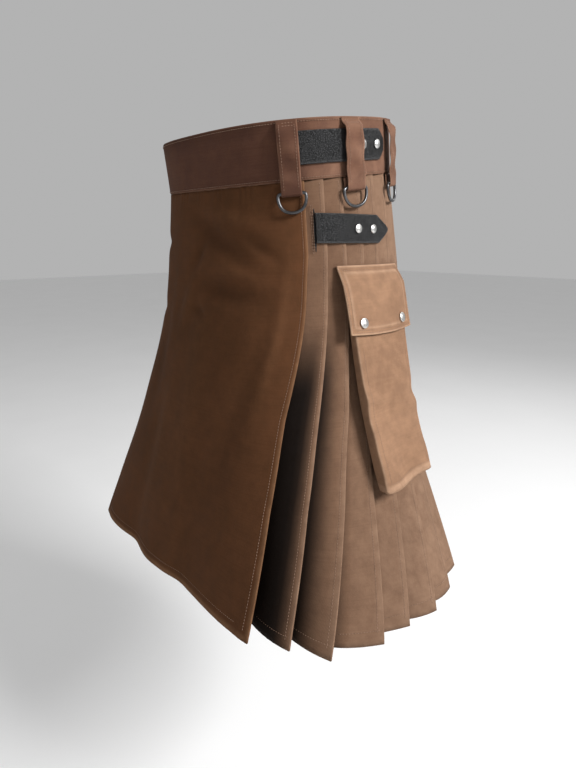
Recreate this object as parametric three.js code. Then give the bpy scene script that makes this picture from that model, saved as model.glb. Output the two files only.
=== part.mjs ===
// A utility kilt in its worn shape, in millimetres with +Z up.
// The front faces -Y and the wearer's left is +X. The origin is the middle of the waistband.
// Azimuths are in degrees from the front towards the wearer's left.
import * as THREE from 'three';

// Cloth and leather
const TWILL = 1.2;
const LAYER_GAP = 0.5;
const SEAM_GAP = 0.35;
const REST_GAP = 0.45;
const LEATHER = 3;
const PITCH = TWILL + LAYER_GAP;

// Waistband
const WAIST_HALF_WIDTH = 168;
const WAIST_HALF_DEPTH = 139;
const WAIST_SQUARENESS = 2.6;
const WAIST_TILT = THREE.MathUtils.degToRad(7);
const BAND_HEIGHT = 70;
const BAND_WALL = 2.6;
const BAND_OUTER_FACE = 1.3;
const BAND_UNDERLAP_DEPTH = 3.3;
const BAND_START = -64;
const BAND_END = 416;
const BAND_STEP_IN = { from: 232, to: 290 };
const BAND_COLUMN = 8;

// Skirt sections below the band: height, middle, half axes and squareness of each oval
const SKIRT_SECTIONS = [
  {
    z: -185, y: 14, left: 181, right: 178, front: 162, back: 160,
    frontLeft: 2.6, frontRight: 2.6, rear: 2.5,
  },
  {
    z: -380, y: -8, left: 232, right: 214, front: 182, back: 186,
    frontLeft: 3.2, frontRight: 2.7, rear: 2.35,
  },
  {
    z: -575, y: -50, left: 345, right: 272, front: 200, back: 262,
    frontLeft: 4.5, frontRight: 2.55, rear: 2.05,
  },
];
const SKIRT_ROWS = [0, 0.13, 0.26, 0.4, 0.55, 0.72, 0.87, 1];
const STITCHED_TO = 0.27;
const FLARE_POWER = 1.5;

// Fold edges of the pleats on one side, from the apron edge to the centre back.
// hip, mid, low and hem are azimuths; out and depth are the hem's offsets from the base section.
const FOLDS = [
  { hip: 59.6, mid: 51.8, low: 50, hem: 49, out: 9, depth: 48 },
  { hip: 68, mid: 63.1, low: 60.2, hem: 58.3, out: -13, depth: 37 },
  { hip: 77.4, mid: 74.8, low: 71, hem: 64.9, out: -7, depth: 27 },
  { hip: 88, mid: 85, low: 81.5, hem: 76.4, out: -4, depth: 22 },
  { hip: 98, mid: 95, low: 91.5, hem: 84.8, out: -3, depth: 18 },
  { hip: 108, mid: 105, low: 101, hem: 92.5, out: 3, depth: 20 },
  { hip: 118, mid: 115, low: 111, hem: 102, out: 0, depth: 22 },
  { hip: 128, mid: 125, low: 121, hem: 112, out: 2, depth: 22 },
  { hip: 138, mid: 135.5, low: 131.5, hem: 123, out: -2, depth: 20 },
  { hip: 148, mid: 146, low: 142, hem: 134.5, out: 2, depth: 22 },
  { hip: 158, mid: 156.5, low: 153, hem: 147, out: 0, depth: 22 },
  { hip: 168, mid: 167, low: 164.5, hem: 160, out: 2, depth: 22 },
  { hip: 177.2, mid: 176.6, low: 175.5, hem: 173, out: 0, depth: 22 },
];
const FOLD_LEVELS = [
  { name: 'hip', fraction: 0.17 },
  { name: 'mid', fraction: 0.55 },
  { name: 'low', fraction: 0.75 },
  { name: 'hem', fraction: 1 },
];
const UNDERLAP_TOP = 6.2;
const UNDERLAP_HEM = 1.6;
const FACE_SHARES = [0.4, 0.72];
const BACK_AZIMUTHS = [176, 179.94];
const CENTRE_BACK = 180;

// Aprons
const APRON_TURN = 6.4;
const APRON_COLUMNS = 18;
const APRON_EDGE_FROM = 0.6;
const APRON_EDGE_STEP = 5;
const TURN_END = 0.14;
const APRON_WAVES = [
  { at: -20, out: -12, width: 11 },
  { at: 22, out: -6, width: 9 },
];
const UNDER_APRON = {
  level: -8.2, edgeTop: 57, edgeHem: 44, edgeRate: 1.6,
  columns: 16, frontDepth: 12, sideDepth: 44, sidePower: 4,
};

// The apron laps over at the wearer's right, so the loops and straps there sit further back
const SIDES = [
  { name: 'left', side: 1, shift: 0 },
  { name: 'right', side: -1, shift: 12 },
];

// Belt loops, made wide enough for the straps, and the D-rings in their lower folds
const LOOPS = [
  { name: 'front', azimuth: 54.5, width: 26 },
  { name: 'side', azimuth: 83.5, width: 32 },
  { name: 'back', azimuth: 113, width: 28 },
];
const LOOP_CLOTH = 1.6;
const LOOP_BOW = 0.6;
const LOOP_HEIGHTS = { top: 34, seam: 30, shoulder: 25, bowTop: 10, bowFoot: -22 };
const LOOP_FOLD_ANGLES = [45, 90, 135];
const RING_WIRE = 2;
const RING_ROOM = 0.35;
const RING_CORNER = 4.2;
const RING_DROP = 26;
const RING_SIDE_ROOM = 2.5;
const RING_BAR_BELOW_BAND = 14;
const RING_BAR_OUT = 4.5;
const RING_BOW = { drop: 0.7, width: 0.62 };
const RING_CURVE_STEPS = [2, 2, 5, 5, 2];
const RING_WIRE_SIDES = 6;
const FOLD_RADIUS = RING_WIRE + RING_ROOM + LOOP_CLOTH / 2;

// Leather straps, as azimuths along the strap and heights across it
const WAIST_STRAP = { from: 51, shoulder: 102, tip: 105.8, height: 38, middle: 2, tipHeight: 14 };
const HIP_STRAP = { from: 63.6, shoulder: 98, tip: 106, height: 37, middle: -102, tipHeight: 4 };
const STRAP_COLUMNS = 9;
const WAIST_STUDS = [90, 99.6];
const HIP_STUDS = [84.5, 94];
const STUD = { radius: 6, rise: 3.2 };
const DOME_PROFILE = [[0, 0], [1, 0], [1, 0.35], [0.7, 0.85], [0, 1]];
const DOME_SEGMENTS = 12;

// Cargo pockets
const FLAP = {
  front: 71.5, back: 111.5, frontLow: 73.2, backLow: 110.2, cloth: 2.4, columns: 8,
  rows: [
    { z: -149, out: 1.8 },
    { z: -156, out: 4.4 },
    { z: -165, out: 9.6 },
    { z: -174, out: 14 },
    { z: -192, out: 16.4 },
    { z: -236, out: 20.6 },
  ],
};
const FLAP_SNAPS = [79.5, 103.5];
const SNAP = { radius: 7, rise: 3, z: -222 };
const BAG = {
  wall: 1.4, floor: 1.6, corner: 4, middle: 92, reach: 0.62,
  panelShares: [0.25, 0.5, 0.75], cornerDrop: 0.45, backDrop: 0.9,
  rows: [
    { z: -177, front: 75.5, back: 108.5, inner: 0.6, outer: 11.8 },
    { z: -236, front: 76, back: 108.5, inner: 1.2, outer: 17.4 },
    { z: -300, front: 78, back: 107.5, inner: 2.6, outer: 21 },
    { z: -365, front: 80.5, back: 106.5, inner: 4.6, outer: 23.5 },
    { z: -430, front: 82.5, back: 105, inner: 7, outer: 25 },
  ],
};

const COLOURS = {
  twill: 0x4a2f22, band: 0x553728, pleat: 0x6b4c3a, pocket: 0x9a7860,
  leather: 0x2a2a2d, nickel: 0xc8c6c2, gunmetal: 0x5e5e62,
};
const MATT = 0.9;
const SATIN = 0.45;
const POLISHED = 0.3;

const radians = THREE.MathUtils.degToRad;
const lerp = THREE.MathUtils.lerp;
const clamp01 = (value) => THREE.MathUtils.clamp(value, 0, 1);

// Monotone cubic through the values at descending heights
function throughHeights(heights, values, z) {
  const slopes = values.slice(1).map((value, i) => (value - values[i]) / (heights[i + 1] - heights[i]));
  const tangents = values.map((value, i) => {
    if (i === 0) return slopes[0];
    if (i === slopes.length) return slopes[i - 1];
    const product = slopes[i - 1] * slopes[i];
    return product <= 0 ? 0 : (2 * product) / (slopes[i - 1] + slopes[i]);
  });
  let span = 0;
  while (span < slopes.length - 1 && z < heights[span + 1]) span += 1;
  const length = heights[span + 1] - heights[span];
  const s = clamp01((z - heights[span]) / length);
  return (2 * s ** 3 - 3 * s ** 2 + 1) * values[span]
    + (s ** 3 - 2 * s ** 2 + s) * length * tangents[span]
    + (3 * s ** 2 - 2 * s ** 3) * values[span + 1]
    + (s ** 3 - s ** 2) * length * tangents[span + 1];
}

// Radius of a rounded oval, with half axes a and b, in the direction of the sine and cosine
function ovalRadius(sine, cosine, a, b, squareness) {
  return (Math.abs(sine / a) ** squareness + Math.abs(cosine / b) ** squareness) ** (-1 / squareness);
}

// A point of the waistband's surface: up is measured along the tilted axis of the waist
function bandPoint(azimuth, up, out = 0) {
  const s = Math.sin(radians(azimuth));
  const c = Math.cos(radians(azimuth));
  const r = ovalRadius(s, c, WAIST_HALF_WIDTH, WAIST_HALF_DEPTH, WAIST_SQUARENESS) + out;
  return new THREE.Vector3(
    r * s,
    -r * c * Math.cos(WAIST_TILT) - up * Math.sin(WAIST_TILT),
    -r * c * Math.sin(WAIST_TILT) + up * Math.cos(WAIST_TILT),
  );
}

function sectionPoint(azimuth, section) {
  const s = Math.sin(radians(azimuth));
  const c = Math.cos(radians(azimuth));
  const a = s > 0 ? section.left : section.right;
  const b = c > 0 ? section.front : section.back;
  const front = s > 0 ? section.frontLeft : section.frontRight;
  const r = ovalRadius(s, c, a, b, c > 0 ? front : section.rear);
  return new THREE.Vector3(r * s, section.y - r * c, section.z);
}

function waistSeam(azimuth) {
  return bandPoint(azimuth, -BAND_HEIGHT / 2 - SEAM_GAP);
}

// A point of the skirt at a height, moved out level from the base section
function skirtAtHeight(azimuth, z, out = 0) {
  const sections = SKIRT_SECTIONS.map((section) => sectionPoint(azimuth, section));
  const levels = [waistSeam(azimuth), ...sections];
  const heights = levels.map((p) => p.z);
  const x = throughHeights(heights, levels.map((p) => p.x), z);
  const y = throughHeights(heights, levels.map((p) => p.y), z);
  const angle = radians(azimuth);
  return new THREE.Vector3(x + out * Math.sin(angle), y - out * Math.cos(angle), z);
}

// The same surface by fraction, from 0 at the waist seam to 1 at the hem
function skirtPoint(azimuth, fraction, out = 0) {
  return skirtAtHeight(azimuth, lerp(waistSeam(azimuth).z, SKIRT_SECTIONS.at(-1).z, fraction), out);
}

// How far the pleats have opened, from 0 where they are stitched flat to 1 at the hem
function openness(fraction) {
  return clamp01((fraction - STITCHED_TO) / (1 - STITCHED_TO)) ** FLARE_POWER;
}

function foldAzimuth(fold, fraction) {
  const below = FOLD_LEVELS.findIndex((level) => fraction <= level.fraction);
  if (below === 0) return fold.hip;
  const [upper, lower] = [FOLD_LEVELS[below - 1], FOLD_LEVELS[below]];
  const share = (fraction - upper.fraction) / (lower.fraction - upper.fraction);
  return lerp(fold[upper.name], fold[lower.name], share);
}

// A closed body from vertices and triangles, turned so that its faces point out
function closedBody(vertices, triangles) {
  let volume = 0;
  for (let i = 0; i < triangles.length; i += 3) {
    const [a, b, c] = [0, 1, 2].map((k) => vertices[triangles[i + k]]);
    volume += a.dot(new THREE.Vector3().crossVectors(b, c));
  }
  const index = volume > 0 ? triangles : [...triangles].reverse();
  const positions = vertices.flatMap((p) => p.toArray());
  const geometry = new THREE.BufferGeometry();
  geometry.setAttribute('position', new THREE.Float32BufferAttribute(positions, 3));
  geometry.setIndex(index);
  return geometry.toNonIndexed();
}

// Points beside a centre line, at a level distance from it, with mitred corners
function besideLine(line, distance) {
  const sharpest = -0.4;
  const sides = line.slice(1).map((p, i) => {
    const along = p.clone().sub(line[i]).setZ(0).normalize();
    return new THREE.Vector3(along.y, -along.x, 0);
  });
  return line.map((p, i) => {
    const before = sides[Math.max(i - 1, 0)];
    const after = sides[Math.min(i, sides.length - 1)];
    const mitre = before.clone().add(after).divideScalar(1 + Math.max(before.dot(after), sharpest));
    return p.clone().addScaledVector(mitre, distance);
  });
}

// A cloth wall: each row is a centre line, and all rows have the same number of points
function clothWall(rows, thickness) {
  const columns = rows[0].length;
  const vertices = rows.flatMap((row) => [
    ...besideLine(row, thickness / 2),
    ...besideLine(row, -thickness / 2),
  ]);
  const vertex = (row, column, side) => row * 2 * columns + side * columns + column;
  const triangles = [];
  const face = (a, b, c, d) => triangles.push(a, b, c, a, c, d);
  const last = columns - 1;
  const foot = rows.length - 1;
  for (let r = 0; r < foot; r += 1) {
    for (let i = 0; i < last; i += 1) {
      face(vertex(r, i, 0), vertex(r + 1, i, 0), vertex(r + 1, i + 1, 0), vertex(r, i + 1, 0));
      face(vertex(r, i, 1), vertex(r, i + 1, 1), vertex(r + 1, i + 1, 1), vertex(r + 1, i, 1));
    }
    face(vertex(r, 0, 0), vertex(r, 0, 1), vertex(r + 1, 0, 1), vertex(r + 1, 0, 0));
    face(vertex(r, last, 0), vertex(r + 1, last, 0), vertex(r + 1, last, 1), vertex(r, last, 1));
  }
  for (let i = 0; i < last; i += 1) {
    face(vertex(0, i, 0), vertex(0, i + 1, 0), vertex(0, i + 1, 1), vertex(0, i, 1));
    face(vertex(foot, i, 0), vertex(foot, i, 1), vertex(foot, i + 1, 1), vertex(foot, i + 1, 0));
  }
  return closedBody(vertices, triangles);
}

// Waistband: one strip, whose inner end runs on under its outer end across the front
function waistband() {
  const azimuths = [];
  for (let a = BAND_START; a <= BAND_END; a += BAND_COLUMN) azimuths.push(a);
  const centre = BAND_OUTER_FACE - BAND_WALL / 2;
  const rows = [BAND_HEIGHT / 2, -BAND_HEIGHT / 2].map((up) => azimuths.map((a) => {
    const inward = THREE.MathUtils.smoothstep(a, BAND_STEP_IN.from, BAND_STEP_IN.to);
    return bandPoint(a, up, centre - inward * BAND_UNDERLAP_DEPTH);
  }));
  return clothWall(rows, BAND_WALL);
}

// Middle of the fold edge of a pleat: its azimuth and its offset from the base section
function outerFold(index, fraction) {
  const fold = FOLDS[index];
  const flat = -TWILL / 2 - PITCH / 2;
  return { azimuth: foldAzimuth(fold, fraction), out: lerp(flat, fold.out, openness(fraction)) };
}

// Middle of the hidden fold in front of that fold edge
function innerFold(index, fraction) {
  const fold = FOLDS[index];
  const underlap = lerp(UNDERLAP_TOP, UNDERLAP_HEM, fraction);
  const first = Math.max(index - 1, 0);
  const spacing = foldAzimuth(FOLDS[first + 1], fraction) - foldAzimuth(FOLDS[first], fraction);
  const flat = -TWILL / 2 - 1.5 * PITCH - (2 * PITCH * underlap) / spacing;
  return {
    azimuth: foldAzimuth(fold, fraction) - underlap,
    out: lerp(flat, fold.out - fold.depth, openness(fraction)),
  };
}

// The side of the body decides the sign of the azimuth
function sidePoint(side, fraction, place) {
  return skirtPoint(side * place.azimuth, fraction, place.out);
}

function between(from, to, share) {
  return { azimuth: lerp(from.azimuth, to.azimuth, share), out: lerp(from.out, to.out, share) };
}

// Three points round a fold, outermost first, between the places that its two layers run to
function turn(side, fraction, arriving, fold, leaving) {
  const nose = sidePoint(side, fraction, fold);
  const wayFrom = (place) => nose.clone().sub(sidePoint(side, fraction, place)).setZ(0).normalize();
  const along = wayFrom(arriving).add(wayFrom(leaving)).normalize();
  const across = new THREE.Vector3(-along.y, along.x, 0);
  const outward = new THREE.Vector3(nose.x, nose.y - skirtPoint(0, fraction).y / 2, 0);
  if (across.dot(outward) < 0) across.negate();
  return [
    nose.clone().addScaledVector(across, PITCH / 2),
    nose.clone().addScaledVector(along, PITCH / 2),
    nose.clone().addScaledVector(across, -PITCH / 2),
  ];
}

// One row of the pleated cloth, from the inner fold under the apron edge to the back seam
function pleatRow(side, fraction) {
  const lift = PITCH / 2;
  let previous = innerFold(0, fraction);
  const opening = between(previous, outerFold(1, fraction), TURN_END / 3);
  opening.out -= lift;
  const line = [sidePoint(side, fraction, opening)];
  for (let k = 1; k < FOLDS.length; k += 1) {
    const edge = outerFold(k, fraction);
    const hidden = innerFold(k, fraction);
    const isLast = k + 1 === FOLDS.length;
    const next = isLast ? { azimuth: CENTRE_BACK, out: hidden.out } : outerFold(k + 1, fraction);
    for (const share of FACE_SHARES) {
      const place = between(previous, edge, share);
      place.out += lerp(-lift, lift, share);
      line.push(sidePoint(side, fraction, place));
    }
    line.push(...turn(side, fraction, previous, edge, hidden));
    line.push(sidePoint(side, fraction, between(edge, hidden, 0.5)));
    line.push(...turn(side, fraction, edge, hidden, next));
    previous = hidden;
  }
  for (const azimuth of BACK_AZIMUTHS) {
    line.push(sidePoint(side, fraction, { azimuth, out: previous.out - lift }));
  }
  return line;
}

function pleats(side) {
  return clothWall(SKIRT_ROWS.map((fraction) => pleatRow(side, fraction)), TWILL);
}

// Offset of the top apron's face, with the soft waves that grow towards the hem
function apronFace(azimuth, fraction) {
  const edge = outerFold(0, fraction).azimuth;
  const near = THREE.MathUtils.smoothstep(Math.abs(azimuth), edge * APRON_EDGE_FROM, edge);
  const waves = APRON_WAVES.map((w) => w.out * Math.exp(-(((azimuth - w.at) / w.width) ** 2)));
  const hem = waves.reduce((sum, wave) => sum + wave, 0) + near * FOLDS[0].out;
  return -TWILL / 2 + openness(fraction) * hem;
}

function apronRow(fraction) {
  const edge = outerFold(0, fraction);
  const hidden = innerFold(0, fraction);
  const turned = between(hidden, edge, TURN_END);
  turned.out += PITCH / 2;
  const middle = between({ azimuth: edge.azimuth, out: edge.out - PITCH / 2 }, turned, 0.5);
  const turnedEdge = (side) => {
    const azimuth = edge.azimuth - APRON_EDGE_STEP;
    const face = { azimuth, out: apronFace(side * azimuth, fraction) };
    return [
      ...turn(side, fraction, face, edge, hidden),
      sidePoint(side, fraction, middle),
      sidePoint(side, fraction, turned),
    ];
  };
  const face = [];
  const reach = edge.azimuth - APRON_TURN / 2;
  for (let i = 0; i <= APRON_COLUMNS; i += 1) {
    const azimuth = lerp(-reach, reach, i / APRON_COLUMNS);
    face.push(skirtPoint(azimuth, fraction, apronFace(azimuth, fraction)));
  }
  return [...turnedEdge(-1).reverse(), ...face, ...turnedEdge(1)];
}

function topApron() {
  return clothWall(SKIRT_ROWS.map(apronRow), TWILL);
}

function underApron() {
  const { level, edgeTop, edgeHem, edgeRate, columns, frontDepth, sideDepth, sidePower } = UNDER_APRON;
  const rows = SKIRT_ROWS.map((fraction) => {
    const reach = lerp(edgeTop, edgeHem, clamp01(fraction * edgeRate));
    return Array.from({ length: columns + 1 }, (_, i) => {
      const share = (2 * i) / columns - 1;
      const depth = lerp(frontDepth, sideDepth, share ** sidePower);
      return skirtPoint(share * reach, fraction, level - openness(fraction) * depth);
    });
  });
  return clothWall(rows, TWILL);
}

// Local frame on the band: x outwards, y up the band, z along the waist
function bandFrame(azimuth) {
  const step = 0.5;
  const origin = bandPoint(azimuth, 0);
  const along = bandPoint(azimuth + step, 0).sub(bandPoint(azimuth - step, 0)).normalize();
  const upward = bandPoint(azimuth, 1).sub(origin).normalize();
  const outward = new THREE.Vector3().crossVectors(along, upward).normalize();
  const across = new THREE.Vector3().crossVectors(outward, upward);
  return new THREE.Matrix4().makeBasis(outward, upward, across).setPosition(origin);
}

// How far the skirt stands out of the band's plane, at a distance below the band
function skirtLean(azimuth, below) {
  const frame = bandFrame(azimuth);
  const level = new THREE.Vector3(0, -BAND_HEIGHT / 2 - below, 0).applyMatrix4(frame).z;
  return skirtAtHeight(azimuth, level).applyMatrix4(frame.invert()).x;
}

// Belt loop: its profile runs down over the strap, round the bar of its ring and up behind it
function beltLoop(width, azimuth) {
  const foot = -BAND_HEIGHT / 2;
  const bar = foot - RING_BAR_BELOW_BAND;
  const barOut = RING_BAR_OUT + skirtLean(azimuth, RING_BAR_BELOW_BAND);
  const front = barOut + FOLD_RADIUS;
  const rest = BAND_OUTER_FACE + REST_GAP + LOOP_CLOTH / 2;
  const line = [
    [rest, LOOP_HEIGHTS.top],
    [rest, LOOP_HEIGHTS.seam],
    [front - LOOP_BOW, LOOP_HEIGHTS.shoulder],
    [front + LOOP_BOW, LOOP_HEIGHTS.bowTop],
    [front + LOOP_BOW, LOOP_HEIGHTS.bowFoot],
    [front, bar],
  ];
  for (const angle of LOOP_FOLD_ANGLES.map(radians)) {
    line.push([barOut + FOLD_RADIUS * Math.cos(angle), bar - FOLD_RADIUS * Math.sin(angle)]);
  }
  line.push([barOut - FOLD_RADIUS, bar]);
  line.push([RING_BAR_OUT - FOLD_RADIUS + LOOP_BOW / 2, foot - 1]);
  const points = line.map(([x, y]) => new THREE.Vector3(x, y, 0));
  const outline = [
    ...besideLine(points, LOOP_CLOTH / 2),
    ...besideLine(points, -LOOP_CLOTH / 2).reverse(),
  ];
  const shape = new THREE.Shape(outline.map((p) => new THREE.Vector2(p.x, p.y)));
  const geometry = new THREE.ExtrudeGeometry(shape, { depth: width, bevelEnabled: false, steps: 1 });
  return geometry.translate(0, 0, -width / 2);
}

// Place of a ring: its bar lies in the loop's fold and its bow follows the lean of the skirt
function ringSeat(azimuth) {
  const lean = skirtLean(azimuth, RING_BAR_BELOW_BAND);
  const leanBelow = skirtLean(azimuth, RING_BAR_BELOW_BAND + RING_DROP);
  const bar = -BAND_HEIGHT / 2 - RING_BAR_BELOW_BAND;
  const seat = new THREE.Matrix4().makeTranslation(RING_BAR_OUT + lean, bar, 0);
  const swing = new THREE.Matrix4().makeRotationZ(Math.atan((leanBelow - lean) / RING_DROP));
  return bandFrame(azimuth).multiply(seat).multiply(swing);
}

// Centre line of a D-ring: a straight bar in the loop's fold and a round bow below it
function ringPath(width) {
  const half = width / 2 + RING_SIDE_ROOM + RING_WIRE;
  const bow = half * RING_BOW.width;
  const shoulder = -RING_DROP * RING_BOW.drop;
  const corner = RING_CORNER;
  const at = (y, z) => new THREE.Vector3(0, y, z);
  const curves = [
    new THREE.LineCurve3(at(0, -half + corner), at(0, half - corner)),
    new THREE.QuadraticBezierCurve3(at(0, half - corner), at(0, half), at(-corner, half)),
    new THREE.CubicBezierCurve3(
      at(-corner, half), at(shoulder, half), at(-RING_DROP, bow), at(-RING_DROP, 0),
    ),
    new THREE.CubicBezierCurve3(
      at(-RING_DROP, 0), at(-RING_DROP, -bow), at(shoulder, -half), at(-corner, -half),
    ),
    new THREE.QuadraticBezierCurve3(at(-corner, -half), at(0, -half), at(0, -half + corner)),
  ];
  return curves.flatMap((curve, i) => curve.getPoints(RING_CURVE_STEPS[i]).slice(0, -1));
}

function ringGeometry(width) {
  const centres = ringPath(width);
  const across = new THREE.Vector3(1, 0, 0);
  const vertices = centres.flatMap((centre, i) => {
    const along = centres[(i + 1) % centres.length].clone().sub(centres.at(i - 1)).normalize();
    const other = new THREE.Vector3().crossVectors(along, across);
    return Array.from({ length: RING_WIRE_SIDES }, (_, k) => {
      const angle = (2 * Math.PI * k) / RING_WIRE_SIDES;
      return centre.clone()
        .addScaledVector(across, RING_WIRE * Math.cos(angle))
        .addScaledVector(other, RING_WIRE * Math.sin(angle));
    });
  });
  const triangles = [];
  centres.forEach((_, i) => {
    const next = (i + 1) % centres.length;
    for (let k = 0; k < RING_WIRE_SIDES; k += 1) {
      const beside = (k + 1) % RING_WIRE_SIDES;
      const [a, b] = [i * RING_WIRE_SIDES + k, i * RING_WIRE_SIDES + beside];
      const [c, d] = [next * RING_WIRE_SIDES + beside, next * RING_WIRE_SIDES + k];
      triangles.push(a, b, c, a, c, d);
    }
  });
  return closedBody(vertices, triangles);
}

// A leather strap, cut to a blunt tip, from the places of its middle line
function strap(side, spec, surfacePoint) {
  const azimuths = Array.from({ length: STRAP_COLUMNS }, (_, i) => (
    lerp(spec.from, spec.shoulder, i / (STRAP_COLUMNS - 1))
  ));
  azimuths.push(spec.tip);
  const rows = [1, -1].map((edge) => azimuths.map((azimuth) => {
    const height = azimuth > spec.shoulder ? spec.tipHeight : spec.height;
    return surfacePoint(side * azimuth, spec.middle + (edge * height) / 2);
  }));
  return clothWall(rows, LEATHER);
}

// Domed cap of a stud or snap, standing on its flat back
function dome(radius, rise) {
  const profile = DOME_PROFILE.map(([x, y]) => new THREE.Vector2(x * radius, y * rise));
  return new THREE.LatheGeometry(profile, DOME_SEGMENTS);
}

// Turn a piece made along +Y to stand on a surface, seen from that surface's neighbours
function standOn(mesh, surfacePoint, azimuth, height) {
  const step = 1;
  const along = surfacePoint(azimuth + step, height).sub(surfacePoint(azimuth - step, height));
  const upward = surfacePoint(azimuth, height + step).sub(surfacePoint(azimuth, height - step));
  const outward = along.cross(upward).normalize();
  mesh.quaternion.setFromUnitVectors(new THREE.Vector3(0, 1, 0), outward);
  mesh.position.copy(surfacePoint(azimuth, height));
}

// Offset at a height in a table of rows that run downwards
function rowAt(rows, z) {
  let i = 0;
  while (i < rows.length - 2 && z < rows[i + 1].z) i += 1;
  const share = (z - rows[i].z) / (rows[i + 1].z - rows[i].z);
  return lerp(rows[i].out, rows[i + 1].out, share);
}

function pocketFlap(side) {
  const last = FLAP.rows.length - 1;
  const rows = FLAP.rows.map((row, r) => {
    const front = lerp(FLAP.front, FLAP.frontLow, r / last);
    const back = lerp(FLAP.back, FLAP.backLow, r / last);
    return Array.from({ length: FLAP.columns + 1 }, (_, i) => (
      skirtAtHeight(side * lerp(front, back, i / FLAP.columns), row.z, row.out)
    ));
  });
  return clothWall(rows, FLAP.cloth);
}

// One level line round a pocket bag: along its outer panel and back along its inner panel
function bagLoop(side, row, inset, z) {
  const perDegree = radians(1) * skirtAtHeight(side * BAG.middle, z).length() * BAG.reach;
  const front = row.front + inset / perDegree;
  const back = row.back - inset / perDegree;
  const cut = BAG.corner / perDegree;
  const edge = [
    [front, BAG.cornerDrop],
    [front + cut, 0],
    ...BAG.panelShares.map((share) => [lerp(front, back, share), 0]),
    [back - cut, 0],
    [back, BAG.cornerDrop],
  ];
  const [near, far] = [row.inner + inset, row.outer - inset];
  const outer = edge.map(([a, drop]) => skirtAtHeight(side * a, z, lerp(far, near, drop)));
  const inner = edge.map(([a, drop]) => (
    skirtAtHeight(side * a, z, lerp(near, far, drop * BAG.backDrop))
  ));
  return [...outer, ...inner.reverse()];
}

// Pocket bag: an outer and an inner skin, open at the top under the flap
function pocketBag(side) {
  const floor = BAG.rows.length - 1;
  const outerSkin = BAG.rows.map((row) => bagLoop(side, row, 0, row.z));
  const innerSkin = BAG.rows.map((row, r) => (
    bagLoop(side, row, BAG.wall, r === floor ? row.z + BAG.floor : row.z)
  ));
  const count = outerSkin[0].length;
  const vertices = [...outerSkin.flat(), ...innerSkin.flat()];
  const inside = outerSkin.length * count;
  const triangles = [];
  const face = (a, b, c, d) => triangles.push(a, b, c, a, c, d);
  for (let i = 0; i < count; i += 1) {
    const j = (i + 1) % count;
    for (let r = 0; r < floor; r += 1) {
      const [upper, lower] = [r * count, (r + 1) * count];
      face(upper + i, lower + i, lower + j, upper + j);
      face(inside + upper + i, inside + upper + j, inside + lower + j, inside + lower + i);
    }
    face(i, j, inside + j, inside + i);
  }
  for (let i = 0; i < count / 2 - 1; i += 1) {
    const [a, b, c, d] = [i, i + 1, count - 2 - i, count - 1 - i].map((k) => floor * count + k);
    face(a, d, c, b);
    face(inside + a, inside + b, inside + c, inside + d);
  }
  return closedBody(vertices, triangles);
}

const group = new THREE.Group();

function material(colour, roughness, metalness = 0) {
  return new THREE.MeshStandardMaterial({ color: colour, roughness, metalness });
}

function add(name, geometry, look) {
  const mesh = new THREE.Mesh(geometry, look);
  mesh.name = name;
  group.add(mesh);
  return mesh;
}

function addCap(name, shape, surfacePoint, azimuth, height) {
  const cap = add(name, dome(shape.radius, shape.rise), material(COLOURS.nickel, POLISHED, 1));
  standOn(cap, surfacePoint, azimuth, height);
}

function addLoops(name, side, shift) {
  for (const loop of LOOPS) {
    const azimuth = side * (loop.azimuth + shift);
    const cloth = add(
      `belt_loop_${name}_${loop.name}`, beltLoop(loop.width, azimuth), material(COLOURS.band, MATT),
    );
    cloth.applyMatrix4(bandFrame(azimuth));
    const ring = add(
      `d_ring_${name}_${loop.name}`, ringGeometry(loop.width), material(COLOURS.gunmetal, SATIN, 1),
    );
    ring.applyMatrix4(ringSeat(azimuth));
  }
}

function addStraps(name, side, shift) {
  const waistOut = BAND_OUTER_FACE + REST_GAP + LEATHER / 2;
  const hipOut = REST_GAP + LEATHER / 2;
  const capSeat = LEATHER / 2 + SEAM_GAP;
  const onBand = (out) => (azimuth, up) => bandPoint(azimuth + side * shift, up, out);
  const onPleats = (out) => (azimuth, z) => skirtAtHeight(azimuth + side * shift, z, out);
  const leather = () => material(COLOURS.leather, SATIN);
  add(`waist_strap_${name}`, strap(side, WAIST_STRAP, onBand(waistOut)), leather());
  add(`hip_strap_${name}`, strap(side, HIP_STRAP, onPleats(hipOut)), leather());
  WAIST_STUDS.forEach((azimuth, i) => {
    const cap = `waist_stud_${name}_${i + 1}`;
    addCap(cap, STUD, onBand(waistOut + capSeat), side * azimuth, WAIST_STRAP.middle);
  });
  HIP_STUDS.forEach((azimuth, i) => {
    const cap = `hip_stud_${name}_${i + 1}`;
    addCap(cap, STUD, onPleats(hipOut + capSeat), side * azimuth, HIP_STRAP.middle);
  });
}

function addPocket(name, side) {
  const seat = FLAP.cloth / 2 + SEAM_GAP;
  const onFlap = (azimuth, z) => skirtAtHeight(azimuth, z, rowAt(FLAP.rows, z) + seat);
  add(`pocket_bag_${name}`, pocketBag(side), material(COLOURS.pocket, MATT));
  add(`pocket_flap_${name}`, pocketFlap(side), material(COLOURS.pocket, MATT));
  FLAP_SNAPS.forEach((azimuth, i) => {
    addCap(`flap_snap_${name}_${i + 1}`, SNAP, onFlap, side * azimuth, SNAP.z);
  });
}

add('waistband', waistband(), material(COLOURS.band, MATT));
add('apron_top', topApron(), material(COLOURS.twill, MATT));
add('apron_under', underApron(), material(COLOURS.twill, MATT));
for (const { name, side, shift } of SIDES) {
  add(`pleats_${name}`, pleats(side), material(COLOURS.pleat, MATT));
  addLoops(name, side, shift);
  addStraps(name, side, shift);
  addPocket(name, side);
}

export default group;
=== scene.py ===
# A brown twill utility kilt, dressed on its frame.
# Lengths are in millimetres and azimuths in degrees from the front towards the wearer's left,
# as in the frame; new_mesh turns them into metres.
import math

import bmesh
import bpy
import numpy as np
from mathutils import Matrix, Vector


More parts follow.
